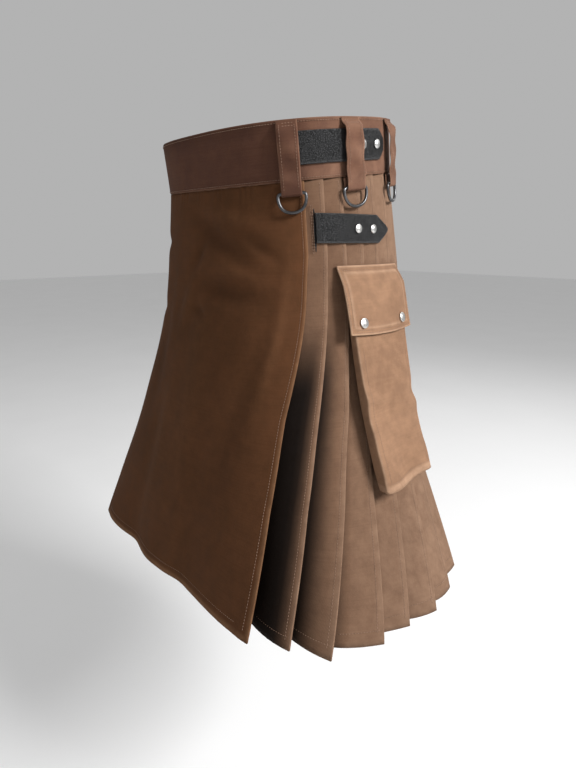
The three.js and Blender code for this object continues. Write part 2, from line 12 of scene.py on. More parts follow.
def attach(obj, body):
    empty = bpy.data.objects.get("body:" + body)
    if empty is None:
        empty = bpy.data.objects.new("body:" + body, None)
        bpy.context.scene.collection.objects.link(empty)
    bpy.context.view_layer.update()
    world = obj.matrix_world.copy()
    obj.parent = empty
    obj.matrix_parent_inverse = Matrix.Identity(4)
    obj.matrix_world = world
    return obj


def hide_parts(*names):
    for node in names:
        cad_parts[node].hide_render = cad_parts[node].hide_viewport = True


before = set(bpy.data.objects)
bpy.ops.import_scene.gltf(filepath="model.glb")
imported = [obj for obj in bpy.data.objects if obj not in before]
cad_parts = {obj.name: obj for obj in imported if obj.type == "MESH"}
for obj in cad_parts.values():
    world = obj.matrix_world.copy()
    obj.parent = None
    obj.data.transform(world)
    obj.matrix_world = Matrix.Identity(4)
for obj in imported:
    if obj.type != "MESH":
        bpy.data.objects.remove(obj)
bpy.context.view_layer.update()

MM = 0.001
BODY = "kilt"


def table(columns, rows):
    """Rows of numbers as dictionaries with named columns."""
    return [dict(zip(columns, row)) for row in rows]


# Cloth, leather and seams
TWILL = 1.2
LAYER_GAP = 0.5
PITCH = TWILL + LAYER_GAP
SEAM_GAP = 0.35
REST_GAP = 0.45
LEATHER = 3.0
LEATHER_TRIM = 0.5

# Waistband: it laps under itself at the wearer's right
WAIST_HALF_WIDTH, WAIST_HALF_DEPTH = 168.0, 139.0
WAIST_SQUARENESS = 2.6
WAIST_TILT = math.radians(7.0)
BAND_HEIGHT = 70.0
BAND_FOOT = -BAND_HEIGHT / 2
BAND_WALL, BAND_TRIM = 2.6, 0.4
BAND_OUTER_FACE = 1.3
BAND_UNDERLAP_DEPTH = 3.3
BAND_START, BAND_END = -64.0, 416.0
BAND_STEP_IN = (232.0, 290.0)
BAND_LAP_END = (57.0, 60.0)
BAND_CREASE = dict(at=32, width=2.2, middle=8, half=26, depth=1.1)

# Seam allowance of the pleats: its height, where it turns up, and how far it lies behind the seam
ALLOWANCE, ALLOWANCE_STEP, ALLOWANCE_IN = 6.0, 0.1, 2.2

# Skirt sections: height, middle, half axes to the left, right, front and back, and squareness
SECTION_COLUMNS = ("z", "y", "left", "right", "front", "back", "front_left", "front_right", "rear")
SECTIONS = table(SECTION_COLUMNS, [
    (-185, 14, 181, 178, 162, 160, 2.6, 2.6, 2.5),
    (-380, -8, 232, 214, 182, 186, 3.2, 2.7, 2.35),
    (-575, -50, 345, 272, 200, 262, 4.5, 2.55, 2.05),
])
HEM_Z = SECTIONS[-1]["z"]
HEM_STITCHES = 1 - 12 / 530
STITCHED_TO = 0.27
FLARE_POWER = 1.5

# Fold edges of the pleats on one side: azimuths at four levels, and the hem's offset and depth
FOLDS = table(("hip", "mid", "low", "hem", "out", "depth"), [
    (59.6, 51.8, 50, 49, 9, 48),
    (68, 63.1, 60.2, 58.3, -13, 37),
    (77.4, 74.8, 71, 64.9, -7, 27),
    (88, 85, 81.5, 76.4, -4, 22),
    (98, 95, 91.5, 84.8, -3, 18),
    (108, 105, 101, 92.5, 3, 20),
    (118, 115, 111, 102, 0, 22),
    (128, 125, 121, 112, 2, 22),
    (138, 135.5, 131.5, 123, -2, 20),
    (148, 146, 142, 134.5, 2, 22),
    (158, 156.5, 153, 147, 0, 22),
    (168, 167, 164.5, 160, 2, 22),
    (177.2, 176.6, 175.5, 173, 0, 22),
])
FOLD_LEVELS = (0.17, 0.55, 0.75, 1.0)
UNDERLAP_TOP, UNDERLAP_HEM = 6.2, 1.6
BACK_SEAM_AZIMUTHS = (173.5, 175.5, 177.5, 179.94)
PLEAT_ROWS = np.linspace(0, 1, 96)
FACE_SHARES = (0.06, 0.14, 0.24, 0.36, 0.48, 0.6, 0.72, 0.83, 0.92)
RETURN_SHARES = (0.15, 0.38, 0.62, 0.85)
FOLD_STEPS = 7
TURN_END = 0.14
FACE_CROWN, FACE_SAG = 3.2, 1.6
PLEAT_STITCH_SHARE = 0.9

# Wear and painted light of the pleats: rubbed folds and hem, rear faces lighter (partly faded dye, partly
# painted light), and painted shade near each hidden fold, given for the faces from the apron on by where it
# starts to fade and where it is gone
FOLD_RUB, FACE_RUB, HEM_RUB, FADED_AND_LIT = 0.42, 0.12, 0.45, 0.38
PAINTED_RECESS_SHADE = ((0.66, 1.12), (0.3, 0.86), (0.08, 0.52), (0.0, 0.42), (0.0, 0.36))

# Aprons
APRON_COLUMNS, APRON_ROWS = 150, 140
APRON_EDGE_SHARES = (0.2, 0.4, 0.6, 1 - TURN_END)
APRON_EDGE_RUB, APRON_HEM_RUB = 0.9, 0.8
APRON_STITCH_INSET = 1.5
APRON_WAVES = table(("at", "out", "width"), [(-20, -12, 11), (22, -6, 9)])
UNDER_LEVEL, UNDER_EDGE_TOP, UNDER_EDGE_HEM = -8.2, 57.0, 44.0
UNDER_FRONT_DEPTH, UNDER_SIDE_DEPTH = 12.0, 44.0
UNDER_CLEARANCE = 2.4

# Soft creases: azimuth and height of the middle, half length and half width, slope in degrees, depth
CREASE_RADIUS = 185.0
# Painted shade in the creases' dents and painted light on their ridges, per millimetre of depth
CREASE_LIGHT_AND_SHADE = 0.034
APRON_CREASES = table(("at", "z", "long", "wide", "slope", "out"), [
    (13, -112, 58, 15, -24, -7.5),
    (22, -88, 46, 9, -12, 3.6),
    (20, -184, 56, 15, -10, -7.0),
    (26, -158, 36, 9, -14, 3.0),
    (0, -136, 30, 11, 50, -4.5),
    (-6, -200, 36, 12, 68, 3.0),
    (4, -212, 16, 7, -20, -3.5),
    (-30, -300, 120, 20, 84, -4.0),
    (-14, -420, 130, 18, 86, 3.0),
    (33, -360, 120, 16, 80, -3.0),
    (46, -240, 90, 10, 78, 2.6),
    (4, -330, 110, 26, 88, 2.6),
    (48, -88, 22, 7, 12, -2.6),
    (40, -128, 28, 9, -30, -3.6),
    (-42, -120, 40, 10, 14, -3.0),
    (-46, -210, 44, 12, -20, -3.0),
])

# The apron laps over at the wearer's right, so the loops and straps there sit further back
SIDES = (("left", 1, 0.0), ("right", -1, 12.0))

# Belt loops, with the rings in their lower folds
LOOPS = [("front", 54.5, 26.0), ("side", 83.5, 32.0), ("back", 113.0, 28.0)]
LOOP_CLOTH = 1.6
LOOP_TOP = 34.0
LOOP_FRONT_ROWS, LOOP_TURN_ROWS, LOOP_BACK_ROWS, LOOP_COLUMNS = 46, 12, 6, 15
RING_WIRE = 2.0
RING_CORNER = 4.2
RING_DROP = 23.0
RING_SIDE_ROOM = 2.5
RING_BAR_BELOW, RING_BAR_OUT = 14.0, 4.5
RING_FACETS = 16
FOLD_RADIUS = RING_WIRE + SEAM_GAP + LOOP_CLOTH / 2

# Leather straps, with the ups or heights of their middles, and their studs
WAIST_STRAP = dict(start=51, shoulder=102, tip=105.8, height=38, middle=2, tip_height=14)
HIP_STRAP = dict(start=63.6, shoulder=98, tip=106, height=37, middle=-102, tip_height=4)
STRAP_ROWS = table(("across", "out"), [
    (1, -0.9), (0.97, -0.3), (0.92, 0.05), (0.84, 0.1), (0.7, -0.25), (0.5, -0.1), (0.25, 0), (0, 0.05),
    (-0.25, 0), (-0.5, -0.1), (-0.7, -0.25), (-0.84, 0.1), (-0.92, 0.05), (-0.97, -0.3), (-1, -0.9),
])
STRAP_RELIEF = 0.7
WAIST_STUDS, HIP_STUDS = (90, 99.6), (84.5, 94)
STUD_RADIUS, STUD_RISE = 6.0, 3.2
STUD_SEAT = LEATHER / 2 + 0.1
DOME_CROWN = [(0.0, 1.0), (0.25, 0.98), (0.45, 0.9), (0.6, 0.78), (0.72, 0.66), (0.8, 0.6), (0.88, 0.58),
              (0.95, 0.48), (0.99, 0.3)]
DOME_RIM = [(1.0, 0.1), (0.97, 0.0)]
DOME_FACETS = 32

# The slit of each hip strap, the black sheet in it (partly the strap's leather, partly painted shade in the
# slit), and the two lines of stitches before it
SLIT_TOP, SLIT_FOOT = -79.0, -131.0
SLIT_LEAD, SLIT_HALF = 0.35, 0.42
SLIT_LEATHER = 0.7
SLIT_STITCHES = (-1.6, -0.95)

# Cargo pockets
FLAP = dict(front=71.5, back=111.5, front_low=73.2, back_low=110.2, cloth=2.4, wide=140.0, long=88.0)
FLAP_ROWS = [(-149, 1.8), (-156, 4.4), (-165, 9.6), (-174, 14), (-192, 16.4), (-236, 20.6)]
FLAP_GRID_ROWS, FLAP_GRID_COLUMNS = 60, 80
FLAP_SNAPS = (79.5, 103.5)
SNAP_RADIUS, SNAP_RISE, SNAP_Z = 7.0, 3.0, -222.0
BAG_WALL = 1.4
BAG_CORNER = 4.0
BAG_ROWS = table(("z", "front", "back", "inner", "outer"), [
    (-177, 75.5, 108.5, 0.6, 11.8),
    (-236, 76, 108.5, 1.2, 17.4),
    (-300, 78, 107.5, 2.6, 21),
    (-365, 80.5, 106.5, 4.6, 23.5),
    (-430, 82.5, 105, 7, 25),
])
BAG_SEAM_COLUMNS, BAG_STITCH_COLUMNS = (3, 53), (8, 46)
BAG_STITCH_FROM = 24

# Stitches
STITCH_PITCH, STITCH_LENGTH, THREAD = 3.6, 2.5, 0.42
STITCH_FACETS = 5
STITCHES = []

# Camera of the photograph, floor and lights, in metres
CAMERA_AT = (0.6621, -0.5796, -0.1155)
CAMERA_WAY = (-0.7119, 0.6537, -0.2568)
FOCAL_PIXELS, FRAME_PIXELS = 545.0, 768.0
SENSOR = 36.0
FLOOR_Z, FLOOR_HALF = -1.08, 14.0
WORLD_STRENGTH = 0.45
LIGHTS = table(("name", "at", "aim", "size", "power"), [
    ("key_right", (2.3, 0.55, 1.2), (0.1, -0.05, -0.25), 0.9, 105),
    ("fill_front", (0.4, -2.5, 0.9), (0, 0, -0.25), 2.2, 7),
    ("rim_back", (-0.4, 2.4, 1.6), (0, 0, -0.2), 1.6, 20),
])


# Numbers and vectors

def lerp(a, b, share):
    return a + (b - a) * share


def smooth_step(value, low, high):
    t = np.clip((value - low) / (high - low), 0, 1)
    return t * t * (3 - 2 * t)


def hill(value, middle, width):
    """A soft bell, 1 at its middle."""
    return np.exp(-(((value - middle) / width) ** 2))


def unit(vectors):
    return vectors / np.maximum(np.linalg.norm(vectors, axis=-1, keepdims=True), 1e-9)


def radial(azimuth):
    """Level unit vectors straight out at each azimuth."""
    angle = np.radians(azimuth)
    return np.stack([np.sin(angle), -np.cos(angle), 0 * angle], -1)


def running_length(points, axis):
    """Lengths along one axis of a grid or path, from its first point."""
    steps = np.linalg.norm(np.diff(points, axis=axis), axis=-1)
    return np.concatenate([np.zeros_like(np.take(steps, [0], axis)), np.cumsum(steps, axis)], axis)


# Surfaces of the waist and the skirt

def oval_radius(sine, cosine, a, b, power):
    return (np.abs(sine / a) ** power + np.abs(cosine / b) ** power) ** (-1 / power)


def band_point(azimuth, up, out=0.0):
    azimuth, up, out = np.broadcast_arrays(np.asarray(azimuth, float), up, out)
    s, c = np.sin(np.radians(azimuth)), np.cos(np.radians(azimuth))
    r = oval_radius(s, c, WAIST_HALF_WIDTH, WAIST_HALF_DEPTH, WAIST_SQUARENESS) + out
    y = -r * c * math.cos(WAIST_TILT) - up * math.sin(WAIST_TILT)
    z = -r * c * math.sin(WAIST_TILT) + up * math.cos(WAIST_TILT)
    return np.stack([r * s, y, z], -1)


def section_point(azimuth, section):
    s, c = np.sin(np.radians(azimuth)), np.cos(np.radians(azimuth))
    a = np.where(s > 0, section["left"], section["right"])
    b = np.where(c > 0, section["front"], section["back"])
    front = np.where(s > 0, section["front_left"], section["front_right"])
    r = oval_radius(s, c, a, b, np.where(c > 0, front, section["rear"]))
    return np.stack([r * s, section["y"] - r * c, np.full_like(r, section["z"])], -1)


def through_heights(heights, values, z):
    """Monotone cubic through the values at descending heights."""
    slopes = [(values[i + 1] - values[i]) / (heights[i + 1] - heights[i]) for i in range(len(values) - 1)]
    tangents = [slopes[0]]
    for before, after in zip(slopes, slopes[1:]):
        total = np.where(before + after == 0, 1, before + after)
        tangents.append(np.where(before * after <= 0, 0, 2 * before * after / total))
    tangents.append(slopes[-1])
    result = np.zeros_like(z)
    for i, _ in enumerate(slopes):
        length = heights[i + 1] - heights[i]
        s = np.clip((z - heights[i]) / length, 0, 1)
        value = (2 * s**3 - 3 * s**2 + 1) * values[i] + (s**3 - 2 * s**2 + s) * length * tangents[i]
        value = value + (3 * s**2 - 2 * s**3) * values[i + 1] + (s**3 - s**2) * length * tangents[i + 1]
        result = np.where((z <= heights[i]) | (i == 0), value, result)
    return result


def skirt_top(azimuth):
    return band_point(azimuth, BAND_FOOT - SEAM_GAP)


def drape(azimuth, z):
    """Small unevenness of well-used cloth, the same for every layer at that place."""
    fade = np.clip((skirt_top(azimuth)[..., 2] - z) / 60, 0, 1)
    a = np.radians(azimuth)
    slow = np.sin(7 * a + z / 61) * np.sin(z / 83 + 2 * np.cos(3 * a))
    quick = np.sin(19 * a - z / 37 + 1.7) * np.sin(z / 29 + 4 * np.sin(2 * a))
    return fade * (0.55 * slow + 0.28 * quick)


def skirt_at(azimuth, z, out=0.0):
    azimuth, z, out = np.broadcast_arrays(np.asarray(azimuth, float), z, out)
    z = z.astype(float)
    levels = [skirt_top(azimuth)] + [section_point(azimuth, s) for s in SECTIONS]
    heights = [p[..., 2] for p in levels]
    x, y = (through_heights(heights, [p[..., i] for p in levels], z) for i in (0, 1))
    return np.stack([x, y, z], -1) + (out + drape(azimuth, z))[..., None] * radial(azimuth)


def height_at(azimuth, fraction):
    top = skirt_top(azimuth)[..., 2]
    return top + (HEM_Z - top) * fraction


def skirt_point(azimuth, fraction, out=0.0):
    return skirt_at(azimuth, height_at(azimuth, fraction), out)


def openness(fraction):
    return np.clip((fraction - STITCHED_TO) / (1 - STITCHED_TO), 0, 1) ** FLARE_POWER


# Mesh makers

def new_mesh(name, points, faces, uv=None, wear_and_shading=None):
    mesh = bpy.data.meshes.new(name)
    mesh.from_pydata([tuple(p) for p in np.asarray(points) * MM], [], [tuple(f) for f in faces])
    mesh.validate()
    if uv is not None:
        layer = mesh.uv_layers.new(name="cloth")
        index = np.empty(len(mesh.loops), int)
        mesh.loops.foreach_get("vertex_index", index)
        layer.data.foreach_set("uv", (np.asarray(uv)[index] * MM).astype(np.float32).ravel())
    if wear_and_shading is not None:
        attribute = mesh.attributes.new("wear_and_shading", "FLOAT", "POINT")
        attribute.data.foreach_set("value", np.asarray(wear_and_shading, np.float32).ravel())
    mesh.polygons.foreach_set("use_smooth", [True] * len(mesh.polygons))
    mesh.update()
    piece = bpy.data.objects.new(name, mesh)
    bpy.context.scene.collection.objects.link(piece)
    return piece


def closed_mesh(*parts):
    """A new mesh with every face turned outwards."""
    piece = new_mesh(*parts)
    work = bmesh.new()
    work.from_mesh(piece.data)
    bmesh.ops.recalc_face_normals(work, faces=work.faces)
    work.to_mesh(piece.data)
    work.free()
    return piece


def beside(grid, distance):
    """Points at a level distance from each row's line, with mitred corners."""
    along = unit(np.diff(grid, axis=1)[..., :2])
    sides = np.stack([along[..., 1], -along[..., 0]], -1)
    before = np.concatenate([sides[:, :1], sides], 1)
    after = np.concatenate([sides, sides[:, -1:]], 1)
    dot = np.maximum((before * after).sum(-1, keepdims=True), -0.4)
    moved = grid.copy()
    moved[..., :2] += (before + after) / (1 + dot) * distance
    return moved


def two_skins(name, outer, inner, uv, wear_and_shading):
    """A closed wall from its two skins of points, with the same cloth, rubbing and painted shading on both."""
    rows, columns = outer.shape[:2]
    at = np.arange(rows * columns).reshape(rows, columns)
    back = rows * columns
    a, b, c, d = (part.ravel() for part in (at[:-1, :-1], at[1:, :-1], at[1:, 1:], at[:-1, 1:]))
    faces = [np.stack([a, b, c, d], 1), np.stack([a, d, c, b], 1) + back]
    for line in (at[0], at[-1][::-1], at[:, -1], at[:, 0][::-1]):
        p, q = line[:-1], line[1:]
        faces.append(np.stack([p, q, q + back, p + back], 1))
    points = np.concatenate([outer.reshape(-1, 3), inner.reshape(-1, 3)])
    return closed_mesh(name, points, np.concatenate(faces).tolist(), np.tile(uv, (2, 1)),
                       np.tile(wear_and_shading.ravel(), 2))


def cloth_wall(name, grid, thickness, wear_and_shading=None):
    """A closed wall of cloth about a grid of points, rows running down."""
    across = running_length(grid, 1)
    across = across - across.mean(1, keepdims=True)
    down = np.linalg.norm(np.diff(grid, axis=0), axis=-1).mean(1)
    down = np.concatenate([[0], np.cumsum(down)])
    uv = np.stack([across, np.broadcast_to(-down[:, None], across.shape)], -1).reshape(-1, 2)
    wear_and_shading = np.zeros(grid.shape[:2]) if wear_and_shading is None else wear_and_shading
    return two_skins(name, beside(grid, thickness / 2), beside(grid, -thickness / 2), uv, wear_and_shading)


def sweep(name, path, radius, facets):
    """A closed loop of round wire."""
    ahead = unit(np.roll(path, -1, 0) - np.roll(path, 1, 0))
    normal = unit(np.cross(ahead, np.cross(ahead.mean(0) + np.array([0.31, 0.17, 0.93]), ahead)))
    other = np.cross(ahead, normal)
    turns = 2 * np.pi * np.arange(facets) / facets
    ring = np.cos(turns)[None, :, None] * normal[:, None] + np.sin(turns)[None, :, None] * other[:, None]
    at = np.arange(len(path) * facets).reshape(len(path), facets)
    below, beyond = np.roll(at, -1, 0), np.roll(at, -1, 1)
    faces = np.stack([at, below, np.roll(below, -1, 1), beyond], -1).reshape(-1, 4)
    return closed_mesh(name, (path[:, None] + radius * ring).reshape(-1, 3), faces.tolist())


# Materials

class Look:
    """A material and its nodes, with a short method for each kind of node."""

    def __init__(self, name):
        self.material = bpy.data.materials.new(name)
        self.material.use_nodes = True
        self.tree = self.material.node_tree
        self.place = self.tree.nodes.new("ShaderNodeTexCoord")

    def feed(self, node, values):
        """Give sockets, by name or number, another node's output, a number or a colour."""
        for name, value in values.items():
            socket = node.inputs[name]
            if isinstance(value, bpy.types.NodeSocket):
                self.tree.links.new(value, socket)
            elif isinstance(value, tuple) and len(value) < len(socket.default_value):
                socket.default_value = (*value, 1.0)
            else:
                socket.default_value = value
        return node

    def node(self, kind, values):
        return self.feed(self.tree.nodes.new(f"ShaderNode{kind}"), values)

    def finish(self, values):
        self.feed(self.tree.nodes["Principled BSDF"], values)
        return self.material

    def noise(self, scale, detail, roughness, vector=None):
        vector = vector or self.place.outputs["Object"]
        values = {"Vector": vector, "Scale": scale, "Detail": detail, "Roughness": roughness}
        return self.node("TexNoise", values).outputs["Fac"]

    def remap(self, value, low, high, to_low=0.0, to_high=1.0):
        values = {"Value": value, "From Min": low, "From Max": high, "To Min": to_low, "To Max": to_high}
        return self.node("MapRange", values).outputs["Result"]

    def calculate(self, operation, first, second):
        node = self.node("Math", {0: first, 1: second})
        node.operation = operation
        return node.outputs["Value"]

    def mix(self, share, first, second):
        node = self.tree.nodes.new("ShaderNodeMix")
        node.data_type = "RGBA"
        return self.feed(node, {"Factor": share, 6: first, 7: second}).outputs[2]

    def bump(self, height, strength, distance, under=None):
        values = {"Height": height, "Strength": strength, "Distance": distance}
        return self.node("Bump", values | ({"Normal": under} if under else {})).outputs["Normal"]

    def wear_and_shading(self):
        node = self.node("Attribute", {})
        node.attribute_name = "wear_and_shading"
        return node.outputs["Fac"]


def twill_look(name, base, faded, shade, mottle=1.0):
    """Heavy cotton twill: steep diagonal ribs, mottled dye, rubbed edges with some painted light, and painted
    shade in recesses.
    """
    look = Look(name)
    flat = look.place.outputs["UV"]
    turned = look.node("Mapping", {"Vector": flat, "Rotation": (0, 0, math.radians(63))}).outputs["Vector"]
    drawn = look.node("Mapping", {"Vector": flat, "Scale": (14, 520, 1)}).outputs["Vector"]
    wave = {"Vector": turned, "Scale": 330, "Distortion": 0.7, "Detail": 1.5, "Detail Scale": 2.0}
    ribs = look.node("TexWave", wave).outputs["Fac"]
    broad, patch, fibre = look.noise(9, 4, 0.6), look.noise(55, 4, 0.65), look.noise(1500, 2, 0.6)
    slubs = look.noise(1, 2, 0.6, drawn)
    worn_and_shaded = look.wear_and_shading()

    dye = look.remap(look.calculate("ADD", broad, patch), 0.75, 1.25, 0.5 - 0.5 * mottle, 0.5 + 0.5 * mottle)
    threads = look.calculate("MULTIPLY", ribs, fibre)
    colour = look.mix(dye, shade, base)
    colour = look.mix(look.remap(threads, 0.1, 0.6, 0.0, 0.24), colour, faded)
    colour = look.mix(look.remap(slubs, 0.45, 0.75, 0.0, 0.3), colour, shade)
    # Below zero the attribute darkens towards near black: painted shade in the pleats' recesses, crease dents
    # and loop wrinkles, and a darker band top
    colour = look.mix(look.remap(worn_and_shaded, -1.0, 0.0, 1.0, 0.0), colour, tuple(0.05 * c for c in shade))
    # Above zero it lightens towards the faded colour: rubbed edges and hem, and painted light on rear pleat
    # faces, band sides, side and back loops and crease ridges
    rubbed = look.calculate("MULTIPLY", look.remap(worn_and_shaded, 0.0, 1.0), look.remap(patch, 0.3, 0.7, 0.4, 1.0))
    weave = look.calculate("ADD", ribs, look.calculate("MULTIPLY", fibre, 0.7))
    soft = look.bump(look.noise(130, 3, 0.6), 0.25, 0.0012)
    return look.finish({
        "Base Color": look.mix(rubbed, colour, faded),
        "Roughness": look.remap(patch, 0.3, 0.7, 0.8, 0.95),
        "Normal": look.bump(weave, 0.45, 0.00022, soft),
        "Sheen Weight": 0.05,
        "Sheen Roughness": 0.45,
        "Sheen Tint": faded,
        "Specular IOR Level": 0.12,
    })


def leather_look(name, base, worn_colour):
    """Grained black leather with rubbed edges."""
    look = Look(name)
    cells = look.tree.nodes.new("ShaderNodeTexVoronoi")
    cells.feature = "DISTANCE_TO_EDGE"
    look.feed(cells, {"Vector": look.place.outputs["Object"], "Scale": 400})
    grain = look.remap(cells.outputs["Distance"], 0.0, 0.12)
    patch, fine = look.noise(90, 4, 0.6), look.noise(900, 3, 0.6)
    colour = look.mix(look.remap(patch, 0.35, 0.65), base, tuple(1.5 * c for c in base))
    rubbed = look.calculate("MULTIPLY", look.wear_and_shading(), look.remap(fine, 0.3, 0.7, 0.3, 1.0))
    crinkle = look.bump(patch, 0.4, 0.0012)
    return look.finish({
        "Base Color": look.mix(rubbed, colour, worn_colour),
        "Roughness": look.remap(look.calculate("ADD", patch, fine), 0.7, 1.3, 0.32, 0.6),
        "Normal": look.bump(look.calculate("ADD", grain, fine), 0.9, 0.001, crinkle),
        "Specular IOR Level": 0.34,
    })


def metal_look(name, colour, dark, roughness):
    look = Look(name)
    marks = look.noise(420, 4, 0.7)
    return look.finish({
        "Base Color": look.mix(look.remap(look.noise(60, 3, 0.5), 0.3, 0.7), dark, colour),
        "Roughness": look.remap(marks, 0.3, 0.7, roughness * 0.7, roughness * 1.4),
        "Normal": look.bump(marks, 0.08, 0.0003),
        "Metallic": 1.0,
    })


def thread_look(name, light, dark):
    look = Look(name)
    strands = look.noise(2600, 2, 0.5)
    return look.finish({
        "Base Color": look.mix(look.remap(look.noise(40, 2, 0.5), 0.35, 0.65), dark, light),
        "Roughness": look.remap(strands, 0.3, 0.7, 0.55, 0.8),
        "Normal": look.bump(strands, 0.4, 0.0002),
    })


def floor_look(name, dark, light):
    look = Look(name)
    return look.finish({"Base Color": look.mix(look.noise(3, 3, 0.5), dark, light), "Roughness": 0.9})


# The apron's twill is darker and the pleats' lighter: partly the cloth's own tone, partly painted shade on the
# apron and painted light on the pleats
APRON_LOOK = twill_look("apron_twill", (0.084, 0.0325, 0.0128), (0.175, 0.090, 0.046), (0.056, 0.021, 0.0066))
BAND_LOOK = twill_look("band_twill", (0.082, 0.035, 0.021), (0.27, 0.15, 0.098), (0.054, 0.021, 0.014))
PLEAT_LOOK = twill_look("pleat_twill", (0.145, 0.080, 0.048), (0.31, 0.20, 0.135), (0.096, 0.049, 0.028))
POCKET_LOOK = twill_look("pocket_twill", (0.250, 0.140, 0.082), (0.46, 0.30, 0.20), (0.170, 0.092, 0.053),
                         mottle=1.25)
LEATHER_LOOK = leather_look("black_leather", (0.006, 0.006, 0.0065), (0.07, 0.07, 0.072))
NICKEL_LOOK = metal_look("nickel_plate", (0.80, 0.79, 0.77), (0.55, 0.54, 0.52), 0.30)
GUNMETAL_LOOK = metal_look("gunmetal_plate", (0.13, 0.13, 0.135), (0.06, 0.06, 0.062), 0.34)
THREAD_LOOK = thread_look("brown_thread", (0.25, 0.15, 0.10), (0.16, 0.09, 0.055))


def dress(piece, look, slot, *nodes, body=BODY):
    piece.data.materials.append(look)
    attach(piece, body)
    if nodes:
        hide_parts(*nodes)


def declare_cloth(grid):
    """Width of a cloth panel from its own lengths across; it is computed and not kept."""
    width = running_length(grid, 1)[:, -1].max() * MM


# Stitches

def stitch_line(path, outward, gap=0.2):
    """Queue stitches along a path, raised outwards by a small gap."""
    outward = unit(outward)
    reach = running_length(path, 0)
    for start in np.arange(STITCH_PITCH / 2, reach[-1] - STITCH_LENGTH, STITCH_PITCH):
        ends = []
        for where in (start, start + STITCH_LENGTH / 2, start + STITCH_LENGTH):
            point, way = (np.array([np.interp(where, reach, line[:, i]) for i in range(3)])
                          for line in (path, outward))
            ends.append(point + way * gap)
        STITCHES.append((ends, way))


def stitch_skirt(azimuth, fraction, out):
    stitch_line(skirt_point(azimuth, fraction, out), radial(azimuth))


def make_stitches(name):
    """All stitches as one mesh of short flattened threads."""
    points, faces = [], []
    for ends, way in STITCHES:
        side = unit(np.cross(unit(ends[2] - ends[0]), way))
        first = len(points)
        for point, size, lift in zip(ends, (0.55, 1.0, 0.55), (-0.25, 0.12, -0.25)):
            for angle in 2 * math.pi * np.arange(STITCH_FACETS) / STITCH_FACETS:
                round_way = math.cos(angle) * side + math.sin(angle) * way
                points.append(point + way * lift + THREAD * size * round_way)
        for a in (first, first + STITCH_FACETS):
            for k in range(STITCH_FACETS):
                m = (k + 1) % STITCH_FACETS
                faces.append((a + k, a + m, a + STITCH_FACETS + m, a + STITCH_FACETS + k))
        faces.append(tuple(first + k for k in range(STITCH_FACETS))[::-1])
        faces.append(tuple(first + 2 * STITCH_FACETS + k for k in range(STITCH_FACETS)))
    return new_mesh(name, points, faces)


# Pleats: a place is an azimuth on one side and a distance out from the skirt's surface

def fold_azimuth(index, fraction):
    fold = FOLDS[index]
    return np.interp(fraction, FOLD_LEVELS, [fold["hip"], fold["mid"], fold["low"], fold["hem"]])


def outer_fold(index, fraction):
    flat = -TWILL / 2 - PITCH / 2
    ripple = 0.35 * np.sin(9 * fraction + 2.1 * index) * openness(fraction)
    return fold_azimuth(index, fraction) + ripple, lerp(flat, FOLDS[index]["out"], openness(fraction))


def inner_fold(index, fraction):
    edge, _ = outer_fold(index, fraction)
    underlap = lerp(UNDERLAP_TOP, UNDERLAP_HEM, fraction)
    first = max(index - 1, 0)
    spacing = fold_azimuth(first + 1, fraction) - fold_azimuth(first, fraction)
    flat = -TWILL / 2 - 1.5 * PITCH - 2 * PITCH * underlap / spacing
    fold = FOLDS[index]
    return edge - underlap, lerp(flat, fold["out"] - fold["depth"], openness(fraction))


def side_point(side, fraction, place):
    return skirt_point(side * place[0], fraction, place[1])


def layer_place(start, end, share):
    """A place on the layer that leaves one fold on its inside and meets the next on its outside."""
    return lerp(start[0], end[0], share), lerp(start[1], end[1], share) + lerp(-PITCH / 2, PITCH / 2, share)


def face_place(index, fraction, share):
    """A place on the face of a pleat, from its hidden fold at 0 to its edge at 1."""
    azimuth, out = layer_place(inner_fold(index - 1, fraction), outer_fold(index, fraction), share)
    bow = FACE_CROWN * math.sin(1.3 * index + 0.6) + FACE_SAG
    return azimuth, out + bow * openness(fraction) * np.sin(math.pi * share)


def fold_turn(side, fraction, arriving, fold, leaving):
    """Columns of points round a fold, from the layer that arrives to the one that leaves."""
    nose = side_point(side, fraction, fold)
    along = unit(sum(unit((nose - side_point(side, fraction, place))[:, :2]) for place in (arriving, leaving)))
    across = np.stack([-along[:, 1], along[:, 0]], 1)
    across *= np.sign((across * radial(side * fold[0])[:, :2]).sum(1, keepdims=True))
    points = []
    for turn in np.radians(np.linspace(90, -90, FOLD_STEPS)):
        point = nose.copy()
        point[:, :2] += PITCH / 2 * (math.cos(turn) * along + math.sin(turn) * across)
        points.append(point)
    return points


